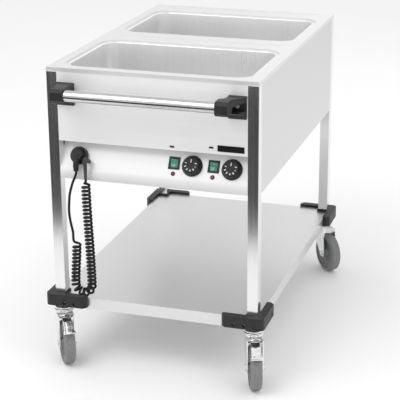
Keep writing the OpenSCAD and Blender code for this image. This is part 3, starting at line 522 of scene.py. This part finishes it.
# The finish of each carried-over node and the rounding of its edges in millimetres
singleNodes = {
    "worktop": ("worktop", 0.9), "shelf": ("shelf", 1.2), "front_panel": ("front", 0.7),
    "rear_panel": ("rear", 0.7), "side_panel_left": ("sides", 0.7), "side_panel_right": ("sides", 0.7),
    "control_panel": ("panel", 0.7), "floor_pan": ("inside", 0.3),
    "handle_bracket_left": ("grey", 1.4), "handle_bracket_right": ("grey", 1.4),
    "switch_housings": ("gloss", 0.5), "plug_holder": ("black", 0.6), "panel_plugs": ("black", 0.3),
    "name_plate": ("gloss", 0.4), "thermostats": ("black", 0.4),
    "drain_lever_front": ("lever", 0.8), "drain_lever_rear": ("lever", 0.8),
    "handle_bar": ("tube", 0.3), "heating_plates": ("aluminium", 0.4), "drain_valves": ("brass", 0.8),
    "bumper_screws": ("screws", 0.4), "handle_screws": ("screws", 0.4),
}
cornerNodes = {
    "leg": ("legs", 1.2), "bumper": ("grey", 2.2), "fork": ("zinc", 0.8), "axle": ("screws", 0.5),
}


# Gives a carried-over node its finish, and rounds its edges with modifiers: its mesh isn't touched
def dressNode(name, finish, edge):
    node = nodes[name]
    node.data.materials.clear()
    node.data.materials.append(finishes[finish])
    node.data.shade_smooth()
    weld = node.modifiers.new("weld", "WELD")
    weld.merge_threshold = 0.01 * mm
    flat = node.modifiers.new("flat faces", "DECIMATE")
    flat.decimate_type = "DISSOLVE"
    flat.angle_limit = math.radians(0.5)
    bevel = node.modifiers.new("rounded edges", "BEVEL")
    bevel.width = edge * mm
    bevel.segments = 2
    bevel.limit_method = "ANGLE"
    bevel.angle_limit = math.radians(38)
    bevel.use_clamp_overlap = True
    normals = node.modifiers.new("flat normals", "WEIGHTED_NORMAL")
    normals.mode = "FACE_AREA"
    normals.weight = 60


for nodeName, (finish, edge) in singleNodes.items():
    dressNode(nodeName, finish, edge)
for stem, (finish, edge) in cornerNodes.items():
    for corner in corners:
        dressNode(stem + "_" + corner, finish, edge)
print("carried-over nodes dressed")

well = {
    "halfWidth": 255 * mm,
    "halfLength": 154 * mm,
    "corner": 40 * mm,
    "ledge": 851 * mm,      # height of the flange's top above the floor
    "lip": 13.4 * mm,       # width of the flange, seen as a ledge inside the worktop's folded edge
    "edge": 2.5 * mm,       # rounding into the wall
    "taper": 3 * mm,        # how much the walls lean in
    "bottomRound": 26 * mm,
    "depth": 200 * mm,      # from the ledge to the floor's edge
    "fall": 1.0 * mm,       # how much lower the floor is at the drain
    "drain": 8 * mm,        # its radius
    "leastCorner": 6 * mm,  # no ring's corners are rounded less
    "sheet": 1.2 * mm,
    # radius and height of the strainer's plate over the drain, in millimetres
    "strainer": [(21, -0.2), (21, 1.2), (17, 1.6), (15, 0.6), (5, 0.5), (4, 2.2), (0.2, 2.6)],
}


# Points round a rectangle with rounded corners, anticlockwise, the same count for any size
def rectRing(halfX, halfY, corner, perCorner=10, perSide=8):
    a = np.linspace(0, math.pi / 2, perCorner)
    arcs = []
    for quarter, (sx, sy) in enumerate(((1, 1), (-1, 1), (-1, -1), (1, -1))):
        turn = a + quarter * math.pi / 2
        centre = np.array([sx * (halfX - corner), sy * (halfY - corner)])
        arcs.append(centre + corner * np.stack([np.cos(turn), np.sin(turn)], -1))
    t = np.linspace(0, 1, perSide, endpoint=False)[1:, None]
    ring = []
    for i, arc in enumerate(arcs):
        ring += [arc, arc[-1] + t * (arcs[(i + 1) % 4][0] - arc[-1])]
    return np.vstack(ring)


# Rings from the flange over the rounded edge, down the leaning wall, round the bottom edge and along
# the floor, where the rounded rectangle turns step by step into the drain's circle
def makeWell(name, node, w):
    low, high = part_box(node)
    middle = (low + high) / 2
    edge, r = w["edge"], w["bottomRound"]
    wallEnd = r - w["depth"]
    profile = [(share * w["lip"], 0.0) for share in (1.0, 0.9, 0.3)]
    profile += [(edge * (1 - math.sin(t)), -edge * (1 - math.cos(t)))
                for t in np.linspace(0, math.pi / 2, 6)]
    profile += [(-w["taper"] * k, -edge + k * (wallEnd + edge)) for k in (0.33, 0.66, 1.0)]
    profile += [(-w["taper"] - r * (1 - math.cos(t)), wallEnd - r * math.sin(t))
                for t in np.linspace(0, math.pi / 2, 9)[1:]]
    rings = []
    for out, drop in profile:
        corner = max(w["corner"] + out, w["leastCorner"])
        ring = rectRing(w["halfWidth"] + out, w["halfLength"] + out, corner)
        rings.append(np.column_stack([ring, np.full(len(ring), drop)]))
    outer = rings[-1]
    circle = outer[:, :2] / np.linalg.norm(outer[:, :2], axis=1)[:, None] * w["drain"]
    for k in np.linspace(0, 1, 9)[1:]:
        plan = outer[:, :2] * (1 - k) + circle * k
        rings.append(np.column_stack([plan, outer[:, 2] - w["fall"] * k]))
    rings.append(np.column_stack([circle * 0.96, outer[:, 2] - w["fall"] - w["sheet"]]))
    points = np.array(rings) + [middle.x, middle.y, w["ledge"]]
    made = gridMesh(name, points, closeColumns=True)
    solid = made.modifiers.new("sheet", "SOLIDIFY")
    solid.thickness = w["sheet"]
    solid.offset = -1
    dress(made, "wells", "frame", (node,))


# Strainer plate over the drain: a dished disc with a raised rim and a knob in its middle
def makeStrainer(name, node, w):
    low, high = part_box(node)
    height = w["ledge"] - w["depth"] - w["fall"] + 0.3 * mm
    place = ((low.x + high.x) / 2, (low.y + high.y) / 2, height)
    made = turned(name, rounded(np.array(w["strainer"]) * mm, 1.0 * mm), place, steps=48)
    dress(made, "screws")


for side in ("front", "rear"):
    makeWell("well_" + side + "_pressing", "well_" + side, well)
    makeStrainer("strainer_" + side, "well_" + side, well)
print("wells made")

knob = {
    "skirt": 28.5 * mm,
    "face": 21 * mm,
    "height": 18 * mm,
    "gap": 0.8 * mm,
    "spindle": 3 * mm,
    "spindleDepth": 18 * mm,
    "dish": 0.6 * mm,
    "flutes": 30,
    "fluteDepth": 0.012,       # as a share of the radius
    "steps": 180,
    "digits": "1234567",
    "digitHeight": 5 * mm,
    "digitWeight": 0.3 * mm,
    "digitCircle": 15.5 * mm,
    "digitSpan": math.radians(218),
    "pointer": (2 * mm, 9 * mm),
    "print": 0.25 * mm,
}


def toMesh(made):
    bpy.context.view_layer.update()
    graph = bpy.context.evaluated_depsgraph_get()
    mesh = bpy.data.meshes.new_from_object(made.evaluated_get(graph))
    mesh.transform(made.matrix_world)
    name = made.name
    bpy.data.objects.remove(made)
    return addObject(name, mesh)


def joined(name, parts):
    bpy.ops.object.select_all(action="DESELECT")
    for part in parts:
        part.select_set(True)
    bpy.context.view_layer.objects.active = parts[0]
    bpy.ops.object.join()
    made = bpy.context.view_layer.objects.active
    made.name = name
    made.data.name = name
    return made


# The matrix that puts an object's own x, y and origin along right, along up and at a place
def standing(right, up, place):
    out = np.cross(right, up)
    return Matrix([[right[i], up[i], out[i], place[i]] for i in range(3)] + [[0, 0, 0, 1]])


# Raised marks: text set on a plane given by its middle, its rightward and its upward direction. A
# capital is 0.7 of the font's size high
def raisedText(name, words, size, middle, right, up, height, weight=0.0):
    curve = bpy.data.curves.new(name, "FONT")
    curve.body = words
    curve.size = size / 0.7
    curve.align_x = "CENTER"
    curve.align_y = "CENTER"
    curve.extrude = height / 2
    curve.offset = weight
    made = addObject(name, curve)
    made.matrix_world = standing(right, up, middle)
    return toMesh(made)


# Knob: a cone with rounded rim, slightly dished face, fine flutes on its side, and its spindle. The
# radius of its side goes in and out with the cosine of a number of turns
def makeKnob(side, k):
    joint = joints["dial_turn_" + side]
    out = np.array(joint["axis"], float)
    place = np.array(joint["pos_m"], float)
    up = unitRows(np.cross(out, rightward))
    g, top = k["gap"], k["gap"] + k["height"]
    skirt, rim = k["skirt"], k["face"]
    outline = rounded([(k["spindle"], -k["spindleDepth"]), (k["spindle"], g), (skirt, g),
                       (skirt, g + 3 * mm), (skirt - 1.2 * mm, g + 3.6 * mm), (rim, top),
                       (rim - 2 * mm, top + 0.1 * mm), (rim - 3 * mm, top - 0.5 * mm),
                       (0.3 * mm, top - k["dish"])], 1.1 * mm)
    a = np.linspace(0, 2 * math.pi, k["steps"], endpoint=False)
    high = outline[:, 1]
    onSide = smooth((high - g - 4 * mm) / (2 * mm)) * smooth((top - 2.2 * mm - high) / (2 * mm))
    wave = (0.5 + 0.5 * np.cos(k["flutes"] * a)) ** 2
    flute = 1 - k["fluteDepth"] * onSide[:, None] * wave[None]
    ring = np.cos(a)[:, None] * rightward + np.sin(a)[:, None] * up
    points = place + (outline[:, :1] * flute)[:, :, None] * ring[None] + outline[:, None, 1:] * out
    made = gridMesh("knob_body_" + side, points, closeColumns=True, capEnds=True)
    dress(made, "black", "dial_" + side, ("knob_" + side,))
    face = place + out * (top - k["dish"])
    marks = []
    for i, digit in enumerate(k["digits"]):
        turn = -math.pi / 2 + k["digitSpan"] * (i / (len(k["digits"]) - 1) - 0.5)
        outward = math.cos(turn) * rightward + math.sin(turn) * up
        marks.append(raisedText("mark", digit, k["digitHeight"], face + k["digitCircle"] * outward,
                                -np.cross(outward, out), -outward, k["print"], k["digitWeight"]))
    width, length = k["pointer"]
    low = face + up * (k["digitCircle"] - length) + out * 0.12 * mm
    grid = np.array([[low + up * y + rightward * x for x in (-width / 2, width / 2)] for y in (0, length)])
    pointer = gridMesh("mark", grid)
    thick = pointer.modifiers.new("print", "SOLIDIFY")
    thick.thickness = k["print"]
    thick.offset = 0
    marks.append(toMesh(pointer))
    dress(joined("knob_marks_" + side, marks), "print", "dial_" + side)


for side in ("left", "right"):
    makeKnob(side, knob)

rocker = {
    "width": 21.4 * mm,
    "length": 24 * mm,
    "end": 6 * mm,             # height of both ends above the pivot
    "waist": 4.2 * mm,         # height over the pivot
    "foot": 6 * mm,            # depth below the pivot
    "tilt": math.radians(8),
    "pin": 1.5 * mm,
    "pinLength": 24 * mm,
    "crown": 0.5 * mm,
    "signHeight": 3.6 * mm,
    "signPlace": 7 * mm,       # from the pivot, up and down
}


# Rocker: its top is a shallow valley across the pivot, crowned a little from side to side
def makeRocker(side, r):
    joint = joints["switch_tip_" + side]
    place = np.array(joint["pos_m"], float)
    up = slantUp * math.cos(r["tilt"]) + slantOut * math.sin(r["tilt"])
    out = slantOut * math.cos(r["tilt"]) - slantUp * math.sin(r["tilt"])
    half, foot, end = r["length"] / 2, -r["foot"], r["end"]
    outline = rounded([(0, foot - 2 * mm), (half, foot), (half, end), (0, r["waist"]), (-half, end),
                       (-half, foot), (0, foot - 2 * mm)], 1.3 * mm, 7)[:-1]
    x = np.linspace(-1, 1, 17)
    edge = 1 - 0.045 * np.clip(np.abs(x) * 6 - 5, 0, 1) ** 2   # narrower in the outermost sixth
    lift = np.where(outline[:, 1] > 0, 1.0, 0.0)[:, None] * r["crown"] * (1 - x ** 2)[None]
    points = (place + (x * r["width"] / 2)[None, :, None] * rightward
              + (outline[:, :1] * edge[None])[:, :, None] * up
              + (outline[:, 1:] * edge[None] + lift - r["crown"])[:, :, None] * out)
    made = gridMesh("rocker_cap_" + side, points.transpose(1, 0, 2), closeColumns=True, capEnds=True)
    dress(made, "green", "switch_" + side, ("rocker_" + side,))
    ends = np.array([place - rightward * r["pinLength"] / 2, place + rightward * r["pinLength"] / 2])
    pin = sweepTube("rocker_pin_" + side, ends, r["pin"], 16)
    dress(pin, "green", "switch_" + side)
    top = place + out * (r["end"] - 0.9 * mm)
    signs = [raisedText("sign", sign, r["signHeight"], top + up * far, rightward, up, 0.5 * mm)
             for sign, far in (("I", r["signPlace"]), ("O", -r["signPlace"]))]
    dress(joined("rocker_signs_" + side, signs), "print", "switch_" + side)


for side in ("left", "right"):
    makeRocker(side, rocker)

lamp = {
    "across": (57 * mm, 167 * mm),
    "up": 13 * mm,
    # radius and height of the collar and of the lens, in millimetres
    "collar": [(3.5, 0.2), (6, 0.05), (6, 1.2), (4.7, 1.5), (4.4, 0.3)],
    "dome": [(5, -12), (5, 0.3), (4.5, 1.3), (3.6, 2.4), (2.4, 3.1), (0.2, 3.35)],
}


# Pilot lamp: a black collar and a domed lens, both turned about the way out of the panel
def makeLamps(c):
    lenses, collars = [], []
    for x in c["across"]:
        place = onSlant(x, c["up"])
        collar = rounded(np.array(c["collar"]) * mm, 0.4 * mm)
        collars.append(turned("collar", collar, place, slantOut, 40))
        dome = rounded(np.array(c["dome"]) * mm, 0.8 * mm)
        lenses.append(turned("lens", dome, place, slantOut, 40))
    dress(joined("lamp_lenses", lenses), "red", "frame", ("pilot_lamps",))
    dress(joined("lamp_collars", collars), "gloss", "frame")


makeLamps(lamp)
print("controls made")

outlet = {
    # share of its length and radius there in millimetres: root, collar, elbow and tapered end
    "profile": [(0, 5), (0.085, 5), (0.09, 5.6), (0.13, 5.6), (0.14, 5.7), (0.42, 6), (0.6, 5.6),
                (1, 4.4)],
    "ribs": 8,
    "ribbed": (0.5, 0.97),   # between these shares of the length
    "ribDepth": 0.08,        # as a share of the radius
}


# Bend protection: leaves the panel square through a collar, turns down in a short elbow, and tapers.
# From halfway on, its radius goes in and out with the cosine of the length
def makeOutlet(o):
    base = onSlant(cord["outlet"][0], cord["outlet"][1])
    corner = outletPoint
    low = np.array([corner[0], corner[1], cord["bootLow"]])
    path = curveThrough([base - slantOut * 8 * mm, base, base + slantOut * 12 * mm,
                         corner - slantOut * 6 * mm, corner - slantOut * 1.2 * mm - [0, 0, 1.2 * mm],
                         corner - [0, 0, 6 * mm], corner * 0.5 + low * 0.5, low], 12)
    run = np.concatenate([[0], np.cumsum(np.linalg.norm(np.diff(path, axis=0), axis=1))])
    run = run / run[-1]
    shares, sizes = np.array(o["profile"]).T
    radius = np.interp(run, shares, sizes * mm)
    first, last = o["ribbed"]
    ribbed = smooth((run - first) / 0.05) * smooth((last - run) / 0.03)
    wave = 0.5 - 0.5 * np.cos(2 * math.pi * o["ribs"] * (run - first) / (last - first))
    made = sweepTube("cord_boot", path, radius * (1 - o["ribDepth"] * ribbed * wave), 28)
    return dress(made, "boot", "frame", ("cord_gland",))


plug = {
    # radius and height of the body, in millimetres
    "profile": [(0.3, 3), (18.5, 3), (18.5, 13), (17.6, 14.2), (17.6, 21), (14.5, 26), (10.5, 25.2),
                (0.3, 25)],
    "low": 3 * mm,           # height of its face over the panel
    "gripFrom": 14 * mm,
    "grooves": 18,
    "grooveDepth": 0.03,     # as a share of the radius
    "steps": 120,
    # share of its length and radius there in millimetres
    "neck": [(0, 9), (0.35, 8.8), (0.6, 8.2), (0.78, 7.6), (1, 7.2)],
    "neckRibs": 6,
    "neckRibbedFrom": 0.52,  # as a share of the length
    "pin": 2.4 * mm,         # its radius
    "pinPitch": 19 * mm,
    "pinLength": 19 * mm,
}


# Angled mains plug in its parking place: a round body whose grip goes in and out with the cosine of a
# number of turns, a neck that turns down and is ribbed like the bend protection, and two pins
def makePlug(p):
    place = onSlant(*cord["holder"])
    outline = rounded(np.array(p["profile"]) * mm, 1.6 * mm)
    a = np.linspace(0, 2 * math.pi, p["steps"], endpoint=False)
    upper = smooth((outline[:, 1] - p["gripFrom"]) / (1.5 * mm))[:, None]
    grip = 1 - p["grooveDepth"] * upper * (0.5 + 0.5 * np.cos(p["grooves"] * a)) ** 3
    ring = np.cos(a)[:, None] * rightward + np.sin(a)[:, None] * slantUp
    points = place + (outline[:, :1] * grip)[:, :, None] * ring[None] + outline[:, None, 1:] * slantOut
    made = gridMesh("plug_body", points, closeColumns=True, capEnds=True)
    low = np.array([plugPoint[0], plugPoint[1], cord["plugTip"]])
    start = place + slantOut * cord["plugElbow"][1]
    path = curveThrough([start, start - slantUp * 14 * mm, plugPoint + slantUp * 9 * mm,
                         plugPoint + slantUp * 1 * mm, plugPoint + [0, 0, -6 * mm], low], 10)
    run = np.linspace(0, 1, len(path))
    shares, sizes = np.array(p["neck"]).T
    radius = np.interp(run, shares, sizes * mm)
    first = p["neckRibbedFrom"]
    wave = 0.5 - 0.5 * np.cos(2 * math.pi * p["neckRibs"] * (run - first) / (1 - first))
    ribbed = outlet["ribDepth"] * smooth((run - first) / 0.06) * wave
    neck = sweepTube("plug_neck", path, radius * (1 - ribbed), 28)
    dress(made, "black", "frame", ("mains_plug",))
    dress(neck, "black", "frame")
    pins = []
    end = p["pinLength"] + 1 * mm
    profile = rounded([(0.2 * mm, 0), (p["pin"], 0.2 * mm), (p["pin"], end), (0.2 * mm, end)], 1.2 * mm)
    for s in (-1, 1):
        foot = place + rightward * (s * p["pinPitch"] / 2) + slantOut * (p["low"] - p["pinLength"])
        pins.append(turned("pin", profile, foot, slantOut, 24))
    dress(joined("plug_pins", pins), "tube", "frame")
    return made, neck


bootPiece = makeOutlet(outlet)
plugPiece, plugNeck = makePlug(plug)
print("plug and outlet made")

wheel = {
    "bore": 5.06 * mm,
    "boss": 14 * mm,
    "bossHalf": 19.7 * mm,
    "webHalf": 7.6 * mm,
    "ribHigh": 2.2 * mm,
    "ribs": 10,
    "rimInner": 43 * mm,
    "rim": 50 * mm,
    "rimHalf": 13 * mm,
    "tread": 62.5 * mm,
    "treadHalf": 16 * mm,
    "shoulder": 9 * mm,
    "groove": [(0, 4.6), (0.5, 4.2), (0.5, 3.8), (0, 3.4), (0, 0)],   # depth and height, in millimetres
    "steps": 160,
}


# A closed section of (radius, height) points turned about an axis; lift adds to the height of each
# point by angle, so that ribs can stand on a disc
def turnedRing(name, section, place, axis, steps, lift=None):
    z = unitRows(np.asarray(axis, float))
    x = unitRows(np.cross([0.3, 0.9, 0.2], z))
    a = np.linspace(0, 2 * math.pi, steps, endpoint=False)
    ring = np.cos(a)[:, None] * x + np.sin(a)[:, None] * np.cross(z, x)
    high = np.repeat(section[:, 1:], steps, axis=1)
    if lift is not None:
        high = high + lift(section, a)
    points = np.asarray(place, float) + section[:, None, :1] * ring[None] + high[:, :, None] * z
    return gridMesh(name, points, closeRows=True, closeColumns=True)


# Wheel: a hub with a boss, a ribbed web and a rim, and a tyre with round shoulders and a groove on
# each side of its middle. Each is half a section, mirrored and turned about the axle
def makeWheel(corner, w):
    joint = joints["wheel_roll_" + corner]
    place, axis, rider = joint["pos_m"], joint["axis"], "wheel_" + corner
    half = rounded([(w["bore"], 0), (w["bore"], w["bossHalf"]), (w["boss"] - 1.5 * mm, w["bossHalf"]),
                    (w["boss"], w["bossHalf"] - 4 * mm), (w["boss"] + 3 * mm, w["webHalf"]),
                    (w["rimInner"] - 3 * mm, w["webHalf"]), (w["rimInner"], w["rimHalf"] - 0.6 * mm),
                    (w["rim"] - 2.5 * mm, w["rimHalf"]), (w["rim"], w["rimHalf"] - 1.5 * mm),
                    (w["rim"], 0)], 1.6 * mm)
    section = np.vstack([half * [1, -1], half[::-1][1:-1]])

    def ribs(s, a):
        inner = smooth((s[:, 0] - w["boss"] - 2 * mm) / (2 * mm))
        onWeb = inner * smooth((w["rimInner"] - 1 * mm - s[:, 0]) / (2 * mm))
        crest = smooth((np.abs(np.cos(w["ribs"] * a / 2)) - 0.93) / 0.05)
        return np.sign(s[:, 1:]) * onWeb[:, None] * w["ribHigh"] * crest[None]

    hub = turnedRing("wheel_disc_" + corner, section, place, axis, w["steps"], ribs)
    dress(hub, "hub", rider, ("hub_" + corner,))
    flank = [(w["rim"], 0), (w["rim"], w["treadHalf"] - 1 * mm), (w["rim"] + 1 * mm, w["treadHalf"])]
    middleR, middleH = w["tread"] - w["shoulder"], w["treadHalf"] - w["shoulder"]
    curve = [(middleR + w["shoulder"] * math.cos(t), middleH + w["shoulder"] * math.sin(t))
             for t in np.linspace(math.pi / 2, 0, 9)]
    groove = [(w["tread"] - depth * mm, high * mm) for depth, high in w["groove"]]
    half = np.array(flank + curve + groove)
    section = np.vstack([half * [1, -1], half[::-1][1:-1]])
    tyre = turnedRing("tread_" + corner, section, place, axis, w["steps"])
    dress(tyre, "tread", rider, ("tyre_" + corner,))


castor = {
    # radius and height of the race's cover, the boss above it and its stem, in millimetres
    "cover": [(0.3, 151.2), (26, 151.1), (28.6, 151.4), (29.4, 152.6), (29.2, 154.6), (27.6, 155.6),
              (26.8, 156.4), (26.4, 159), (24.6, 161.4), (21, 162.4), (12, 162.5), (12, 195.2),
              (6, 195.4), (6, 254), (0.3, 255)],
    "kingPin": [(0.3, 133.6), (7, 133.6), (9, 135.2), (9, 139.1), (5, 139.2), (5, 151.4),
                (0.3, 151.5)],
    "plug": (13 * mm, 205 * mm, 255 * mm),   # half width, lower and upper height
    # underside of the pedal's plate: along the trail, height and half width in millimetres
    "pedal": [(30, 138, 13), (46, 134.6, 13), (61, 130, 13), (73, 122.6, 13), (84, 115.5, 14),
              (92, 112, 17), (98, 110, 17), (102, 115, 17)],
    "pedalSheet": 3 * mm,
    "pedalHalf": 14 * mm,                 # about the plate's half width, which the tongue is set out on
    "tongue": (6.5 * mm, 1.6 * mm),       # half width and rise
    "tongueSpan": (0.2, 0.78),            # between these shares of the plate's length
    "pivot": (30 * mm, 137 * mm),         # along the trail, height
    "tube": (5 * mm, 19 * mm),            # radius, half length
    "pin": (3 * mm, 23 * mm),             # radius, half length
    "shoe": ((52 * mm, 64 * mm), 10 * mm, (129 * mm, 133 * mm)),   # along, half width, heights
}


# A block with rounded corners along x, y and z of its own, standing on two heights
def block(name, halfX, halfY, low, high, place, along, across, soft=1 * mm):
    rings = []
    for inset, z in ((soft, low), (0, low + soft), (0, high - soft), (soft, high)):
        ring = rectRing(halfX - inset, halfY - inset, 2 * mm, 3, 2)
        rings.append(np.column_stack([ring, np.full(len(ring), z)]))
    x, y, z = (np.array(rings)[..., i, None] for i in range(3))
    points = place + x * along + y * across + z * [0, 0, 1]
    return gridMesh(name, points, closeColumns=True, capEnds=True)


# Fixed half of each castor: domed cover of the ball race, stem, square plug in the leg and king pin
def makeRaces(c):
    parts = []
    half, low, high = c["plug"]
    for corner in corners:
        x, y, _ = joints["swivel_turn_" + corner]["pos_m"]
        foot = np.array([x, y, 0.0])
        parts.append(turned("race", rounded(np.array(c["cover"]) * mm, 0.7 * mm), foot, steps=96))
        parts.append(turned("pin", rounded(np.array(c["kingPin"]) * mm, 0.7 * mm), foot, steps=48))
        parts.append(block("plug", half, half, low, high, foot, rightward, np.array([0, 1.0, 0])))
    dress(joined("castor_races", parts), "zinc", "frame", ("castor_heads",))


# Brake pedal: a folded plate with a raised tongue down its middle and a wider turned-up lip, its
# pivot tube and pin, and the shoe under it
def makePedal(corner, c):
    foot = np.array([*joints["swivel_turn_" + corner]["pos_m"][:2], 0.0])
    eye = np.array([*joints["wheel_roll_" + corner]["pos_m"][:2], 0.0])
    along = unitRows(eye - foot)
    across = np.cross([0, 0, 1], along)
    line = rounded(np.array(c["pedal"]) * mm, 3 * mm, 4)
    slope = unitRows(np.gradient(line[:, :2], axis=0))
    sheet = c["pedalSheet"]
    low = foot + line[:, :1] * along + line[:, 1:2] * [0, 0, 1]
    out = -slope[:, 1:] * along + slope[:, :1] * [0, 0, 1]
    y = np.concatenate([np.linspace(-1, 1, 25), np.linspace(1, -1, 25)])
    upper = np.repeat([0.0, 1.0], 25)
    rimmed = 1 - 0.3 * np.clip(np.abs(y) * 12 - 11, 0, 1) ** 2   # thinner in the outermost twelfth
    height = sheet / 2 + sheet * (upper - 0.5) * rimmed
    run = np.linspace(0, 1, len(line))
    wide, rise = c["tongue"]
    tongue = rise * smooth((wide - np.abs(y) * c["pedalHalf"]) / (1.5 * mm)) * upper
    first, last = c["tongueSpan"]
    shown = smooth((run - first) / 0.1) * smooth((last - run) / 0.06)
    rings = (low[:, None] + (y[None] * line[:, 2:])[:, :, None] * across
             + (height[None] + tongue[None] * shown[:, None])[:, :, None] * out[:, None])
    plate = gridMesh("pedal_plate_" + corner, rings, closeColumns=True, capEnds=True)
    s, z = c["pivot"]
    hinge = foot + along * s + [0, 0, z]
    parts = [plate]
    for radius, half in (c["tube"], c["pin"]):
        ends = np.array([hinge - across * half, hinge + across * half])
        parts.append(sweepTube("pivot", ends, radius, 24))
    (s0, s1), half, (z0, z1) = c["shoe"]
    parts.append(block("shoe", (s1 - s0) / 2, half, z0, z1, foot + along * (s0 + s1) / 2, along, across))
    dress(joined("brake_pedal_" + corner, parts), "zinc", "brake_" + corner, ("pedal_" + corner,))


for corner in corners:
    makeWheel(corner, wheel)
makeRaces(castor)
for corner in corners[:2]:   # only the front castors have brakes
    makePedal(corner, castor)
print("castors made")

studio = {
    "floor": 150.0,        # half its width in metres
    "floorTone": 0.94,
    "worldTone": 0.92,
    "lights": [
        ("key", (-1.2, -2.2, 3.4), (0, 0, 0.5), 2.6, 40),
        ("fill", (2.8, -1.6, 2.2), (0, 0, 0.5), 2.0, 12),
        ("back", (0.4, 3.0, 2.6), (0, 0, 0.6), 2.4, 7),
    ],
    "flag": [(-3.2, -6.0), (2.2, -6.0), (2.2, -1.73), (-3.2, -1.03)],   # corners of the dark cloth
}


# The flag, a dark cloth before the trolley, shows only in what shines: it keeps the legs dark
def makeFlag(c):
    mesh = bpy.data.meshes.new("flag")
    mesh.from_pydata([(x, y, 2 * mm) for x, y in c["flag"]], [], [(0, 1, 2, 3)])
    flag = addObject("flag", mesh)
    paint = Paint("flag")
    weave = paint.noise(paint.place(), 40, 3, 0.5)
    mesh.materials.append(paint.finish(colour=weave.mix(grey(0.006), grey(0.012)), rough=0.9))
    flag.visible_camera = False
    flag.visible_diffuse = False
    flag.visible_shadow = False


# A pale floor, an even pale world and three soft round lights: name, place, aim, width and power
def makeStudio(c):
    s = c["floor"]
    mesh = bpy.data.meshes.new("floor")
    mesh.from_pydata([(-s, -s, 0), (s, -s, 0), (s, s, 0), (-s, s, 0)], [], [(0, 1, 2, 3)])
    floor = addObject("floor", mesh)
    paint = Paint("floor")
    cloud = paint.noise(paint.place(), 3, 3, 0.5)
    tones = cloud.mix(grey(c["floorTone"]), grey(c["floorTone"] + 0.02))
    mesh.materials.append(paint.finish(colour=tones, rough=0.9, gloss=0.0))
    makeFlag(c)
    world = bpy.data.worlds.new("studio")
    world.use_nodes = True
    world.node_tree.nodes["Background"].inputs["Color"].default_value = grey(c["worldTone"])
    bpy.context.scene.world = world
    bpy.context.scene.view_settings.view_transform = "Standard"
    for name, place, aim, side, power in c["lights"]:
        data = bpy.data.lights.new(name, "AREA")
        data.shape = "DISK"
        data.size = side
        data.energy = power
        light = addObject(name, data)
        out = unitRows(np.array(place, float) - aim)
        across = unitRows(np.cross([0, 0, 1], out))
        light.matrix_world = standing(across, np.cross(out, across), place)


makeStudio(studio)
print("studio lit")
